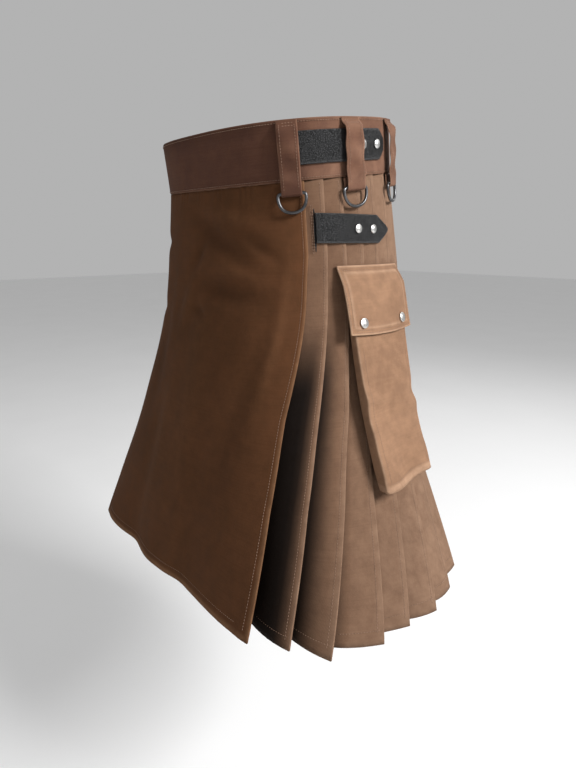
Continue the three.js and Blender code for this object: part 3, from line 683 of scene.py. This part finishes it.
def pleat_grid(side):
    """Points of one side's pleats, all folds in one sheet, with their rubbing and painted light and shade."""
    rows = PLEAT_ROWS
    columns, wear_and_shading = [], []

    def put(points, amount):
        columns.extend(points)
        wear_and_shading.extend([np.broadcast_to(amount, rows.shape)] * len(points))

    def put_place(azimuth, out, amount):
        put([side_point(side, rows, (azimuth, out))], amount)

    start, first_edge = inner_fold(0, rows), outer_fold(1, rows)
    put_place(*(lerp(a, b, TURN_END / 3) - c for a, b, c in zip(start, first_edge, (0, PITCH / 2))), 0)
    opened = smooth_step(rows, STITCHED_TO, 0.5)
    for k in range(1, len(FOLDS)):
        previous, edge, hidden = inner_fold(k - 1, rows), outer_fold(k, rows), inner_fold(k, rows)
        last = k + 1 == len(FOLDS)
        following = (np.full_like(rows, 180.0), hidden[1]) if last else outer_fold(k + 1, rows)
        full, gone = PAINTED_RECESS_SHADE[min(k, len(PAINTED_RECESS_SHADE)) - 1]
        # Faces towards the back are lighter: partly faded dye, partly painted light where the light falls
        faded_and_lit = FADED_AND_LIT * float(smooth_step(k, 1, 6))
        for share in FACE_SHARES:
            # Painted shade: the face goes dark near the fold hidden under the pleat before it
            dark = opened * (1 - smooth_step(share, full, gone))
            rubbed = FACE_RUB if share == FACE_SHARES[-1] else 0.0
            put_place(*face_place(k, rows, share), rubbed + faded_and_lit - dark)
        put(fold_turn(side, rows, previous, edge, hidden), FOLD_RUB)
        # The returns behind each fold and the turn round the hidden fold get full painted shade where the
        # pleats open
        for share in RETURN_SHARES:
            put_place(*layer_place(edge, hidden, share), -opened)
        put(fold_turn(side, rows, edge, hidden, following), -opened)
    for azimuth in BACK_SEAM_AZIMUTHS:
        put_place(np.full_like(rows, azimuth), inner_fold(len(FOLDS) - 1, rows)[1] - PITCH / 2, 0)
    worn_and_shaded = np.stack(wear_and_shading, 1)
    worn_and_shaded[-1:] = np.where(worn_and_shaded[-1:] < 0, worn_and_shaded[-1:], np.maximum(worn_and_shaded[-1:], HEM_RUB))
    return np.stack(columns, 1), worn_and_shaded


def seam_allowance(grid, worn_and_shaded):
    """The grid and its rubbing and painted shading with two rows more on top, sewn in behind the waistband."""
    top = grid[0]
    azimuth = np.degrees(np.arctan2(top[:, 0], -top[:, 1])) % 360
    lapped = smooth_step(azimuth, *BAND_STEP_IN) + 1 - smooth_step(azimuth, *BAND_LAP_END)
    inward = -unit(top[:, :2]) * (ALLOWANCE_IN + BAND_UNDERLAP_DEPTH * lapped)[:, None]
    upward = np.array([0, -math.sin(WAIST_TILT), math.cos(WAIST_TILT)])
    rows = [top + rise * upward + np.pad(inward, ((0, 0), (0, 1))) for rise in (ALLOWANCE, ALLOWANCE_STEP)]
    return np.concatenate([np.stack(rows), grid]), np.concatenate([worn_and_shaded[:1], worn_and_shaded[:1], worn_and_shaded])


def make_pleats(side, side_name):
    grid, worn_and_shaded = seam_allowance(*pleat_grid(side))
    piece = cloth_wall(f"pleats_{side_name}_cloth", grid, TWILL, worn_and_shaded)
    dress(piece, PLEAT_LOOK, "twill", f"pleats_{side_name}")
    declare_cloth(grid)

    edge = np.linspace(0.004, 0.985, 160)
    shares = np.linspace(0.3, 0.97, 24)
    hem = np.full_like(shares, HEM_STITCHES)
    for k in range(1, len(FOLDS)):
        for fraction, share in ((edge, PLEAT_STITCH_SHARE), (hem, shares)):
            azimuth, out = face_place(k, fraction, share)
            stitch_skirt(side * azimuth, fraction, out + TWILL / 2)


# Aprons

def crease_offset(azimuth, z):
    total = np.zeros_like(azimuth)
    for crease in APRON_CREASES:
        arc = np.radians(azimuth - crease["at"]) * CREASE_RADIUS
        rise = z - crease["z"]
        angle = math.radians(crease["slope"])
        along = arc * math.cos(angle) + rise * math.sin(angle)
        across = -arc * math.sin(angle) + rise * math.cos(angle)
        total = total + crease["out"] * hill(along, 0, crease["long"]) * hill(across, 0, crease["wide"])
    return total


def apron_face(azimuth, fraction):
    """How far out the top apron lies: waves to the hem, creases, and puckers below the waistband."""
    edge = outer_fold(0, fraction)[0]
    near = smooth_step(np.abs(azimuth), edge * 0.6, edge)
    inside = 1 - smooth_step(np.abs(azimuth), edge - 11, edge - 5)
    waves = sum(wave["out"] * hill(azimuth, wave["at"], wave["width"]) for wave in APRON_WAVES)
    creases = crease_offset(azimuth, height_at(azimuth, fraction)) * smooth_step(fraction, 0.0, 0.05)
    pucker = 0.7 * np.sin(azimuth * 1.3 + 3 * np.sin(azimuth * 0.37)) * np.exp(-fraction * 45)
    return -TWILL / 2 + openness(fraction) * (waves + near * FOLDS[0]["out"]) + (creases + pucker) * inside


def apron_grid():
    rows = np.linspace(0, 1, APRON_ROWS)
    edge, hidden = outer_fold(0, rows), inner_fold(0, rows)

    def turned_edge(side):
        before = edge[0] - 5
        points = fold_turn(side, rows, (before, apron_face(side * before, rows)), edge, hidden)
        places = [layer_place(edge, hidden, share) for share in APRON_EDGE_SHARES]
        return points + [side_point(side, rows, place) for place in places]

    faces, azimuths = [], []
    for share in np.linspace(-1, 1, APRON_COLUMNS):
        azimuth = share * (edge[0] - 0.9)
        near = smooth_step(np.abs(share), 0.93, 1.0)
        faces.append(skirt_point(azimuth, rows, lerp(apron_face(azimuth, rows), edge[1] + PITCH / 2, near)))
        azimuths.append(azimuth)
    right, left = turned_edge(-1), turned_edge(1)
    grid = np.stack(right[::-1] + faces + left, 1)
    side, last = len(right), len(right) + APRON_COLUMNS
    worn_and_shaded = np.zeros(grid.shape[:2])
    # Painted shade in the dents of the creases and painted light on their ridges
    worn_and_shaded[:, side:last] = CREASE_LIGHT_AND_SHADE * crease_offset(np.stack(azimuths, 1), grid[:, side:last, 2])
    worn_and_shaded[:, side - FOLD_STEPS:side] = APRON_EDGE_RUB
    worn_and_shaded[:, last:last + FOLD_STEPS] = APRON_EDGE_RUB
    worn_and_shaded[-2:] = APRON_HEM_RUB
    return grid, worn_and_shaded


def under_apron_grid():
    """The under apron: narrower to the hem, further in at its sides and clear of the creases above."""
    rows = np.linspace(0, 1, 60)
    reach = lerp(UNDER_EDGE_TOP, UNDER_EDGE_HEM, np.clip(rows * 1.6, 0, 1))
    columns = []
    for share in np.linspace(-1, 1, 90):
        depth = lerp(UNDER_FRONT_DEPTH, UNDER_SIDE_DEPTH, share**4)
        level = UNDER_LEVEL + openness(rows) * (1.2 * np.sin(share * 9 + rows * 3) - depth)
        below = apron_face(share * reach, rows) - UNDER_CLEARANCE
        columns.append(skirt_point(share * reach, rows, np.minimum(level, below)))
    return np.stack(columns, 1)


def make_aprons():
    for name, grid, worn_and_shaded in (("apron_top", *apron_grid()), ("apron_under", under_apron_grid(), None)):
        piece = cloth_wall(f"{name}_cloth", grid, TWILL, worn_and_shaded)
        dress(piece, APRON_LOOK, "twill", name)
        declare_cloth(grid)
    rows = np.linspace(0.004, 0.985, 170)
    azimuth, out = outer_fold(0, rows)
    for side in (-1, 1):
        stitch_skirt(side * (azimuth - APRON_STITCH_INSET), rows, out + PITCH / 2 + TWILL / 2)
    hem = np.full(200, HEM_STITCHES)
    azimuth = np.linspace(-0.93, 0.93, 200) * outer_fold(0, hem)[0]
    stitch_skirt(azimuth, hem, apron_face(azimuth, hem) + TWILL / 2)


# Waistband

def band_ripple(azimuth, up):
    """Puckers along the sewn edges, the soft crumple between them, and one upright crease."""
    a = np.radians(azimuth)
    pucker = 0.35 * np.sin(41 * a + 3 * np.sin(7 * a)) * hill(np.abs(up), BAND_HEIGHT / 2, 9.0)
    crumple = 0.3 * np.sin(9 * a + up / 21) * np.cos(up / 30 + 2 * np.sin(4 * a))
    upright = 0.4 + 0.6 * hill(up, BAND_CREASE["middle"], BAND_CREASE["half"])
    crease = BAND_CREASE["depth"] * hill(azimuth, BAND_CREASE["at"], BAND_CREASE["width"]) * upright
    return pucker + crumple - crease


def make_waistband():
    half = BAND_HEIGHT / 2
    ups, azimuths = np.linspace(half, -half, 34), np.arange(BAND_START, BAND_END + 0.01, 1.6)
    up, azimuth = np.meshgrid(ups, azimuths, indexing="ij")
    centre = BAND_OUTER_FACE - BAND_WALL / 2
    inward = smooth_step(azimuth, *BAND_STEP_IN) * BAND_UNDERLAP_DEPTH
    round_edge = -0.7 * smooth_step(np.abs(up), half - 2.5, half)
    single = np.where((azimuth > BAND_STEP_IN[0]) | (azimuth < -50), 0.0, 1.0)
    grid = band_point(azimuth, up, centre - inward + single * (0.5 * band_ripple(azimuth, up) + round_edge))
    worn_and_shaded = 0.5 * smooth_step(np.abs(up), half - 1.5, half)
    # Lighter towards the sides from the front loops back, painted light; darker towards the top
    worn_and_shaded += 0.5 * smooth_step(np.abs(azimuth), 50, 74) - 0.22 * smooth_step(up, 12, 34)
    piece = cloth_wall("waistband_cloth", grid, BAND_WALL - BAND_TRIM, worn_and_shaded)
    dress(piece, BAND_LOOK, "band_twill", "waistband")
    declare_cloth(grid)
    azimuth = np.linspace(-62, 285, 560)
    azimuth = azimuth[azimuth < BAND_STEP_IN[0]]
    for up in (half - 3.5, 3.0 - half):
        path = band_point(azimuth, up, centre + BAND_WALL / 2 - 0.1)
        stitch_line(path, band_point(azimuth, up, 2.0) - band_point(azimuth, up), 0.35)


# Belt loops and rings

def band_frame(azimuth):
    """Local frame on the band: x outwards, y up the band and z along the waist."""
    origin = band_point(azimuth, 0.0)
    along = unit(band_point(azimuth + 0.5, 0.0) - band_point(azimuth - 0.5, 0.0))
    upward = unit(band_point(azimuth, 1.0) - origin)
    outward = unit(np.cross(along, upward))
    return origin, np.stack([outward, upward, np.cross(outward, upward)])


def from_frame(local, azimuth):
    origin, axes = band_frame(azimuth)
    return origin + np.asarray(local) @ axes


def skirt_lean(azimuth, below):
    """How far out of the band's frame the skirt is, so far below the band."""
    origin, axes = band_frame(azimuth)
    level = from_frame([0, BAND_FOOT - below, 0], azimuth)[2]
    return float((skirt_at(azimuth, level) - origin) @ axes[0])


def loop_line(azimuth):
    """Middle line of a loop: down over the strap, round the ring's bar and up behind it."""
    bar = BAND_FOOT - RING_BAR_BELOW
    bar_out = RING_BAR_OUT + skirt_lean(azimuth, RING_BAR_BELOW)
    front = bar_out + FOLD_RADIUS
    rest = BAND_OUTER_FACE + REST_GAP + LOOP_CLOTH / 2
    knots = np.array([(rest, LOOP_TOP), (rest, 31), (rest + 1.6, 28), (front - 0.8, 24), (front + 0.5, 12),
                      (front + 0.7, -2), (front + 0.5, -20), (front + 0.1, -38), (front, bar)])
    heights = np.linspace(LOOP_TOP, bar, LOOP_FRONT_ROWS)
    line = [(np.interp(-h, -knots[:, 1], knots[:, 0]), h) for h in heights]
    for angle in np.radians(np.linspace(12, 168, LOOP_TURN_ROWS)):
        line.append((bar_out + FOLD_RADIUS * math.cos(angle), bar - FOLD_RADIUS * math.sin(angle)))
    for share in np.linspace(0, 1, LOOP_BACK_ROWS):
        back = lerp(bar_out - FOLD_RADIUS, RING_BAR_OUT - FOLD_RADIUS + 0.3, share)
        line.append((back, lerp(bar, BAND_FOOT - 1, share)))
    return np.array(line), bar


def loop_skin(line, normal, bar, across, width, seed, sign):
    """One skin of a loop: thin hems, and wrinkles on its free front part."""
    up, w = line[:, 1:], across[None]
    half = LOOP_CLOTH / 2 * (1 - 0.45 * smooth_step(np.abs(w), width / 2 - 1.2, width / 2))
    free = smooth_step(up, bar + 6, bar + 20) * smooth_step(-up, -31, -22)
    free = free * (np.arange(len(line)) < LOOP_FRONT_ROWS)[:, None]
    wrinkle = 0.55 * np.sin(up / 5.3 + seed + w / 11) + 0.45 * np.sin(up / 9.1 - w / 6 + seed)
    belly = free * (1.9 * wrinkle + 0.9 * (1 - (2 * w / width) ** 2))
    return np.stack([line[:, :1] + normal[:, :1] * sign * half + belly, up + normal[:, 1:] * sign * half,
                     w * (1 + 0.012 * np.sin(up / 13 + seed))], -1)


def make_loop(side, side_name, name, azimuth, width, seed):
    place = side * azimuth
    line, bar = loop_line(place)
    across = np.linspace(-width / 2, width / 2, LOOP_COLUMNS)
    along = unit(np.gradient(line, axis=0))
    normal = np.stack([-along[:, 1], along[:, 0]], 1)
    skins = [loop_skin(line, normal, bar, across, width, seed, sign) for sign in (1, -1)]
    length = running_length(line, 0)
    worn_and_shaded = np.tile(0.5 * smooth_step(np.abs(across), width / 2 - 1.5, width / 2), (len(line), 1))
    # Side and back loops lighter, painted light; lighter on the wrinkles' crests and darker in their troughs,
    # painted light and shade
    worn_and_shaded += 0.35 * smooth_step(abs(azimuth), 60, 80) + 0.12 * np.sin(line[:, 1] / 5.3 + seed)[:, None]
    piece = two_skins(f"belt_loop_{side_name}_{name}_cloth", *(from_frame(skin, place) for skin in skins),
                      np.stack(np.meshgrid(across, -length), -1).reshape(-1, 2), worn_and_shaded)
    dress(piece, BAND_LOOK, "band_twill", f"belt_loop_{side_name}_{name}")
    outer = max(skins, key=lambda skin: skin[20, 7, 0])
    seams = [outer[2:44, column] for column in (2, LOOP_COLUMNS - 3)]
    seams += [outer[row, 2:LOOP_COLUMNS - 2] for row in (2, 4)]
    for seam in seams:
        stitch_line(from_frame(seam, place), np.tile(band_frame(place)[1][0], (len(seam), 1)), 0.15)


def bezier(points, count):
    t = np.linspace(0, 1, count, endpoint=False)[:, None]
    points = [np.array(p, float) for p in points]
    while len(points) > 1:
        points = [p * (1 - t) + q * t for p, q in zip(points, points[1:])]
    return points[0]


def ring_path(width):
    """A D lying in a plane: its straight bar, two round corners and the bow below."""
    half = width / 2 + RING_SIDE_ROOM + RING_WIRE
    corner, bow, shoulder = RING_CORNER, half * 0.62, -RING_DROP * 0.7
    flat = np.concatenate([
        bezier([(0, -half + corner), (0, half - corner)], 14),
        bezier([(0, half - corner), (0, half), (-corner, half)], 8),
        bezier([(-corner, half), (shoulder, half), (-RING_DROP, bow), (-RING_DROP, 0)], 22),
        bezier([(-RING_DROP, 0), (-RING_DROP, -bow), (shoulder, -half), (-corner, -half)], 22),
        bezier([(-corner, -half), (0, -half), (0, -half + corner)], 8),
    ])
    return flat[:, 0], flat[:, 1]


def make_ring(side, side_name, name, azimuth, width):
    place = side * azimuth
    lean = skirt_lean(place, RING_BAR_BELOW)
    swing = math.atan((skirt_lean(place, RING_BAR_BELOW + RING_DROP) - lean) / RING_DROP)
    up, along = ring_path(width)
    path = np.stack([RING_BAR_OUT + lean - up * math.sin(swing),
                     BAND_FOOT - RING_BAR_BELOW + up * math.cos(swing), along], 1)
    node = f"d_ring_{side_name}_{name}"
    piece = sweep(f"{node}_wire", from_frame(path, place), RING_WIRE, RING_FACETS)
    dress(piece, GUNMETAL_LOOK, "gunmetal", node, body=f"ring_{side_name}_{name}")


# Straps, studs and snaps

def make_strap(node, side, spec, surface):
    azimuths = np.linspace(spec["start"], spec["tip"], 70)
    past = np.clip((azimuths - spec["shoulder"]) / (spec["tip"] - spec["shoulder"]), 0, 1)
    heights = lerp(spec["height"], spec["tip_height"], past)
    rows = []
    for row in STRAP_ROWS:
        out = STRAP_RELIEF * row["out"] + 0.18 * np.sin(azimuths * 0.9 + row["across"] * 3)
        rows.append(surface(side * azimuths, spec["middle"] + row["across"] * heights / 2, out))
    grid = np.stack(rows)
    worn_and_shaded = np.zeros(grid.shape[:2])
    worn_and_shaded[:2] = 0.35
    worn_and_shaded[-3:] = 0.75
    piece = cloth_wall(f"{node}_leather", grid, LEATHER - LEATHER_TRIM, worn_and_shaded)
    dress(piece, LEATHER_LOOK, "leather", node)
    bevel = piece.modifiers.new("edge", "BEVEL")
    bevel.width = 0.0006
    bevel.segments = 2
    bevel.angle_limit = math.radians(50)


def put_dome(node, surface, azimuth, height, radius, rise):
    """A plated cap with a rolled rim and a soft dished crown."""
    centre = surface(azimuth, height)
    along = surface(azimuth + 1, height) - surface(azimuth - 1, height)
    upward = surface(azimuth, height + 1) - surface(azimuth, height - 1)
    outward = unit(np.cross(along, upward))
    side = unit(np.cross(outward, [0.2, 0.1, 1.0]))
    other = np.cross(outward, side)
    profile = [(share, rise * high) for share, high in DOME_CROWN] + DOME_RIM
    points = [centre + outward * rise]
    for share, level in profile[1:]:
        for angle in 2 * math.pi * np.arange(DOME_FACETS) / DOME_FACETS:
            ring = math.cos(angle) * side + math.sin(angle) * other
            points.append(centre + outward * level + radius * share * ring)
    faces = []
    last = 1 + (len(profile) - 2) * DOME_FACETS
    for k in range(DOME_FACETS):
        m = (k + 1) % DOME_FACETS
        faces.append((0, 1 + k, 1 + m))
        for a in range(1, last, DOME_FACETS):
            faces.append((a + k, a + DOME_FACETS + k, a + DOME_FACETS + m, a + m))
    faces.append(tuple(last + k for k in range(DOME_FACETS)))
    dress(closed_mesh(f"{node}_cap", points, faces), NICKEL_LOOK, "nickel", node)


def make_slit(side, side_name, shift):
    """The opening that the hip strap comes through: a black leather sheet in it, partly the strap's own
    leather and partly painted shade in the slit, and its stitching.
    """
    mouth = HIP_STRAP["start"] + shift
    shares = np.linspace(0, 1, 24)
    heights, widths = lerp(SLIT_TOP, SLIT_FOOT, shares), np.linspace(-SLIT_HALF, SLIT_HALF, 5)
    tall, wide = np.meshgrid(heights, widths, indexing="ij")
    gape = SLIT_LEAD + (1 - SLIT_LEAD) * np.sin(math.pi * shares)[:, None]
    grid = skirt_at(side * (mouth - SLIT_LEAD + wide * gape), tall, 0.55 - 1.2 * np.abs(wide))
    piece = cloth_wall(f"hip_strap_root_{side_name}_leather", grid, SLIT_LEATHER)
    dress(piece, LEATHER_LOOK, "leather")
    z = np.linspace(SLIT_TOP + 7, SLIT_FOOT - 6, 40)
    for inset in SLIT_STITCHES:
        azimuth = np.full_like(z, side * (mouth + inset))
        stitch_line(skirt_at(azimuth, z, 0.25), radial(azimuth))


# Pockets

def flap_surface(azimuth, z, out=0.0):
    heights, outs = zip(*FLAP_ROWS)
    return skirt_at(azimuth, z, np.interp(-np.asarray(z, float), [-h for h in heights], outs) + out)


def make_flap(side, side_name):
    rows, columns = FLAP_GRID_ROWS, FLAP_GRID_COLUMNS
    down, over = np.meshgrid(np.linspace(0, 1, rows), np.linspace(0, 1, columns), indexing="ij")
    z = lerp(FLAP_ROWS[0][0], FLAP_ROWS[-1][0], down) - 2.5 * np.sin(math.pi * over) * down
    front, back = lerp(FLAP["front"], FLAP["front_low"], down), lerp(FLAP["back"], FLAP["back_low"], down)
    azimuth = lerp(front, back, over)
    from_sides = np.minimum(over, 1 - over) * FLAP["wide"]
    edge_near = np.minimum(from_sides, np.minimum(1 - down, down) * FLAP["long"])
    belly = 1.1 * np.sin(math.pi * over) * np.sin(math.pi * np.clip(down * 1.1, 0, 1))
    dents = sum(0.9 * hill(azimuth, at, 4.5) * hill(z, SNAP_Z, 13) for at in FLAP_SNAPS)
    ripple = 0.45 * np.sin(over * 17 + 3 * down) * down * (1 - 0.6 * down)
    grid = flap_surface(side * azimuth, z, belly - dents + ripple - 1.1 * hill(edge_near, 7, 1.6))
    worn_and_shaded = 0.75 * (1 - smooth_step(edge_near, 0.5, 3.0))
    worn_and_shaded += 0.5 * hill(edge_near, 9, 2.0) - 0.1 * hill(edge_near, 6.5, 1.2)
    piece = cloth_wall(f"pocket_flap_{side_name}_cloth", grid, FLAP["cloth"] - 0.3, worn_and_shaded)
    dress(piece, POCKET_LOOK, "pocket_twill", f"pocket_flap_{side_name}")
    declare_cloth(grid)

    outer = max((beside(grid, way * FLAP["cloth"] / 2) for way in (1, -1)),
                key=lambda skin: np.linalg.norm(skin[rows // 2, columns // 2, :2]))
    ways = radial(side * azimuth)
    for inset in (3, 7):
        left, top = int(columns * inset / FLAP["wide"]), int(rows * inset / FLAP["long"])
        right, bottom = columns - 1 - left, rows - 1 - top
        for line in (np.s_[2:bottom, left], np.s_[2:bottom, right], np.s_[bottom, left:right],
                     np.s_[max(1, top), left:right]):
            stitch_line(outer[line], ways[line], 0.05)


def bag_ring(side, z, row, inset):
    """One level loop of the bag: front panel, gussets and back panel, with round corners."""
    per_degree = math.radians(1) * 0.62 * float(np.linalg.norm(skirt_at(side * 92, z)))
    front, back = row["front"] + inset / per_degree, row["back"] - inset / per_degree
    inner, outer = row["inner"] + inset, row["outer"] - inset
    corner = min(BAG_CORNER, (outer - inner) * 0.45)
    cut = corner / per_degree

    def turn(middle, level, first, last, steps):
        angle = np.radians(np.linspace(first, last, steps))
        return middle + cut * np.cos(angle), level + corner * np.sin(angle)

    def panel(level, shares):
        return lerp(front + cut, back - cut, shares), np.full(len(shares), level)

    parts = [
        turn(front + cut, outer - corner, 180, 90, 7),
        panel(outer, np.linspace(0, 1, 44)[1:-1]),
        turn(back - cut, outer - corner, 90, 0, 7),
        turn(back - cut, inner + corner, 0, -90, 6),
        panel(inner, np.linspace(1, 0, 30)[1:-1]),
        turn(front + cut, inner + corner, -90, -180, 6),
    ]
    azimuth, out = (np.concatenate(column) for column in zip(*parts))
    return azimuth, out, (azimuth - front) / (back - front)


def bag_folds(over, z):
    """Soft crumples of the hanging front panel."""
    long_fold = 1.5 * np.sin(over * 8.5 + z / 70) * smooth_step(-z, 250, 430)
    cross = 1.2 * hill(z + 22 * over, -318, 10) - 1.0 * hill(z - 20 * over, -345, 12)
    return long_fold + cross + 1.4 * hill(z, -405, 18) * np.sin(over * 6 + 1)


def bag_skin(side, levels, inset):
    """Loops of one skin of the bag, from its mouth to its base, which hangs unevenly."""
    loops = []
    for z in levels:
        row = {c: np.interp(-z, [-r["z"] for r in BAG_ROWS], [r[c] for r in BAG_ROWS]) for c in BAG_ROWS[0]}
        azimuth, out, over = bag_ring(side, z, row, inset)
        outside = smooth_step(out, row["inner"] + 3, row["outer"] - 2) * smooth_step(-z, 190, 225)
        point = skirt_at(side * azimuth, z, out + outside * (bag_folds(over, z) * 2.1 - 0.8))
        hang = 5.0 * (over - 0.35) - 2.08 * hill(over, 0.45, 0.2) + 2.4 * hill(over, 0.75, 0.16)
        point[:, 2] = z + smooth_step(-z, 360, 430) * hang
        loops.append(point)
    if inset:
        loops[-1][:, 2] += BAG_WALL
    return np.stack(loops)


def bag_faces(rows, count):
    """Both skins, the rim between them at the mouth, and a base for each."""
    base = rows * count
    faces = []
    for i in range(count):
        j = (i + 1) % count
        for low in range(0, base - count, count):
            outer = (low + i, low + count + i, low + count + j, low + j)
            faces += [outer, tuple(base + corner for corner in outer[::-1])]
        faces.append((i, j, base + j, base + i))
    bottom = tuple(range(base - count, base))
    return faces + [bottom, tuple(base + i for i in bottom[::-1])]


def make_bag(side, side_name):
    top, low = BAG_ROWS[0]["z"], BAG_ROWS[-1]["z"]
    levels = np.linspace(top, low, 78)
    outer, inner = bag_skin(side, levels, 0.0), bag_skin(side, levels, BAG_WALL)
    rows, count = outer.shape[:2]
    across = running_length(outer, 1)
    uv = np.stack([across, np.broadcast_to(levels[:, None], across.shape)], -1).reshape(-1, 2)
    seams = np.max([hill(np.arange(count), spot, 1.6) for spot in BAG_SEAM_COLUMNS], axis=0)
    worn_and_shaded = np.tile(0.6 * seams, (rows, 1))
    worn_and_shaded[-3:] = np.maximum(worn_and_shaded[-3:], 0.5)
    points = np.concatenate([outer.reshape(-1, 3), inner.reshape(-1, 3)])
    piece = closed_mesh(f"pocket_bag_{side_name}_cloth", points, bag_faces(rows, count),
                        np.tile(uv, (2, 1)), np.concatenate([worn_and_shaded, 0 * worn_and_shaded]))
    dress(piece, POCKET_LOOK, "pocket_twill", f"pocket_bag_{side_name}")
    ways = radial(side * bag_ring(side, levels[0], BAG_ROWS[0], 0)[0])
    first, last = BAG_STITCH_COLUMNS
    for column in BAG_STITCH_COLUMNS:
        seam = outer[BAG_STITCH_FROM:-2, column]
        stitch_line(seam, np.tile(ways[column], (len(seam), 1)), 0.15)
    stitch_line(outer[-4, first:last], ways[first:last], 0.15)


# The whole kilt

def make_side(side_name, side, shift):
    """Everything on one side, its loops, rings and straps moved back by the shift."""
    turn = side * shift

    def on_band(azimuth, up, out=0.0):
        return band_point(azimuth + turn, up, BAND_OUTER_FACE + REST_GAP + LEATHER / 2 + out)

    def on_pleats(azimuth, z, out=0.0):
        return skirt_at(azimuth + turn, z, REST_GAP + LEATHER / 2 + out)

    def on_flap(azimuth, z):
        return flap_surface(azimuth, z, FLAP["cloth"] / 2)

    make_pleats(side, side_name)
    for order, (name, azimuth, width) in enumerate(LOOPS):
        make_loop(side, side_name, name, azimuth + shift, width, 1.7 * order + side)
        make_ring(side, side_name, name, azimuth + shift, width)
    straps = (("waist", WAIST_STRAP, WAIST_STUDS, on_band), ("hip", HIP_STRAP, HIP_STUDS, on_pleats))
    for kind, spec, _, surface in straps:
        make_strap(f"{kind}_strap_{side_name}", side, spec, surface)
    for kind, spec, studs, surface in straps:
        for i, azimuth in enumerate(studs, 1):
            put_dome(f"{kind}_stud_{side_name}_{i}", lambda a, z: surface(a, z, STUD_SEAT), side * azimuth,
                     spec["middle"], STUD_RADIUS, STUD_RISE)
    make_flap(side, side_name)
    make_bag(side, side_name)
    for i, azimuth in enumerate(FLAP_SNAPS, 1):
        put_dome(f"flap_snap_{side_name}_{i}", on_flap, side * azimuth, SNAP_Z, SNAP_RADIUS, SNAP_RISE)
    make_slit(side, side_name, shift)


make_waistband()
make_aprons()
for side_values in SIDES:
    make_side(*side_values)
dress(make_stitches("sewing_threads"), THREAD_LOOK, "twill")


# Camera, floor and light

def put_in_scene(name, data, at, way):
    thing = bpy.data.objects.new(name, data)
    thing.matrix_world = Matrix.Translation(at) @ Vector(way).to_track_quat("-Z", "Y").to_matrix().to_4x4()
    bpy.context.scene.collection.objects.link(thing)
    return thing


def add_camera():
    data = bpy.data.cameras.new("camera")
    data.sensor_width = SENSOR
    data.lens = FOCAL_PIXELS / FRAME_PIXELS * SENSOR
    data.clip_start, data.clip_end = 0.01, 50
    bpy.context.scene.camera = put_in_scene("camera", data, CAMERA_AT, CAMERA_WAY)


def add_floor():
    corners = [(x * FLOOR_HALF, y * FLOOR_HALF, FLOOR_Z) for x, y in ((-1, -1), (1, -1), (1, 1), (-1, 1))]
    mesh = bpy.data.meshes.new("floor")
    mesh.from_pydata(corners, [], [(0, 1, 2, 3)])
    mesh.materials.append(floor_look("pale_floor", (0.86, 0.86, 0.86), (0.9, 0.9, 0.9)))
    floor = bpy.data.objects.new("floor", mesh)
    bpy.context.scene.collection.objects.link(floor)


def add_light(name, at, aim, size, power):
    data = bpy.data.lights.new(name, "AREA")
    data.shape = "SQUARE"
    data.size = size
    data.energy = power
    put_in_scene(name, data, at, Vector(aim) - Vector(at))


def add_world():
    world = bpy.data.worlds.new("studio")
    bpy.context.scene.world = world
    world.use_nodes = True
    back = world.node_tree.nodes["Background"]
    back.inputs["Color"].default_value = (1, 1, 1, 1)
    back.inputs["Strength"].default_value = WORLD_STRENGTH
    bpy.context.scene.view_settings.view_transform = "Standard"


add_camera()
add_floor()
add_world()
for values in LIGHTS:
    add_light(**values)
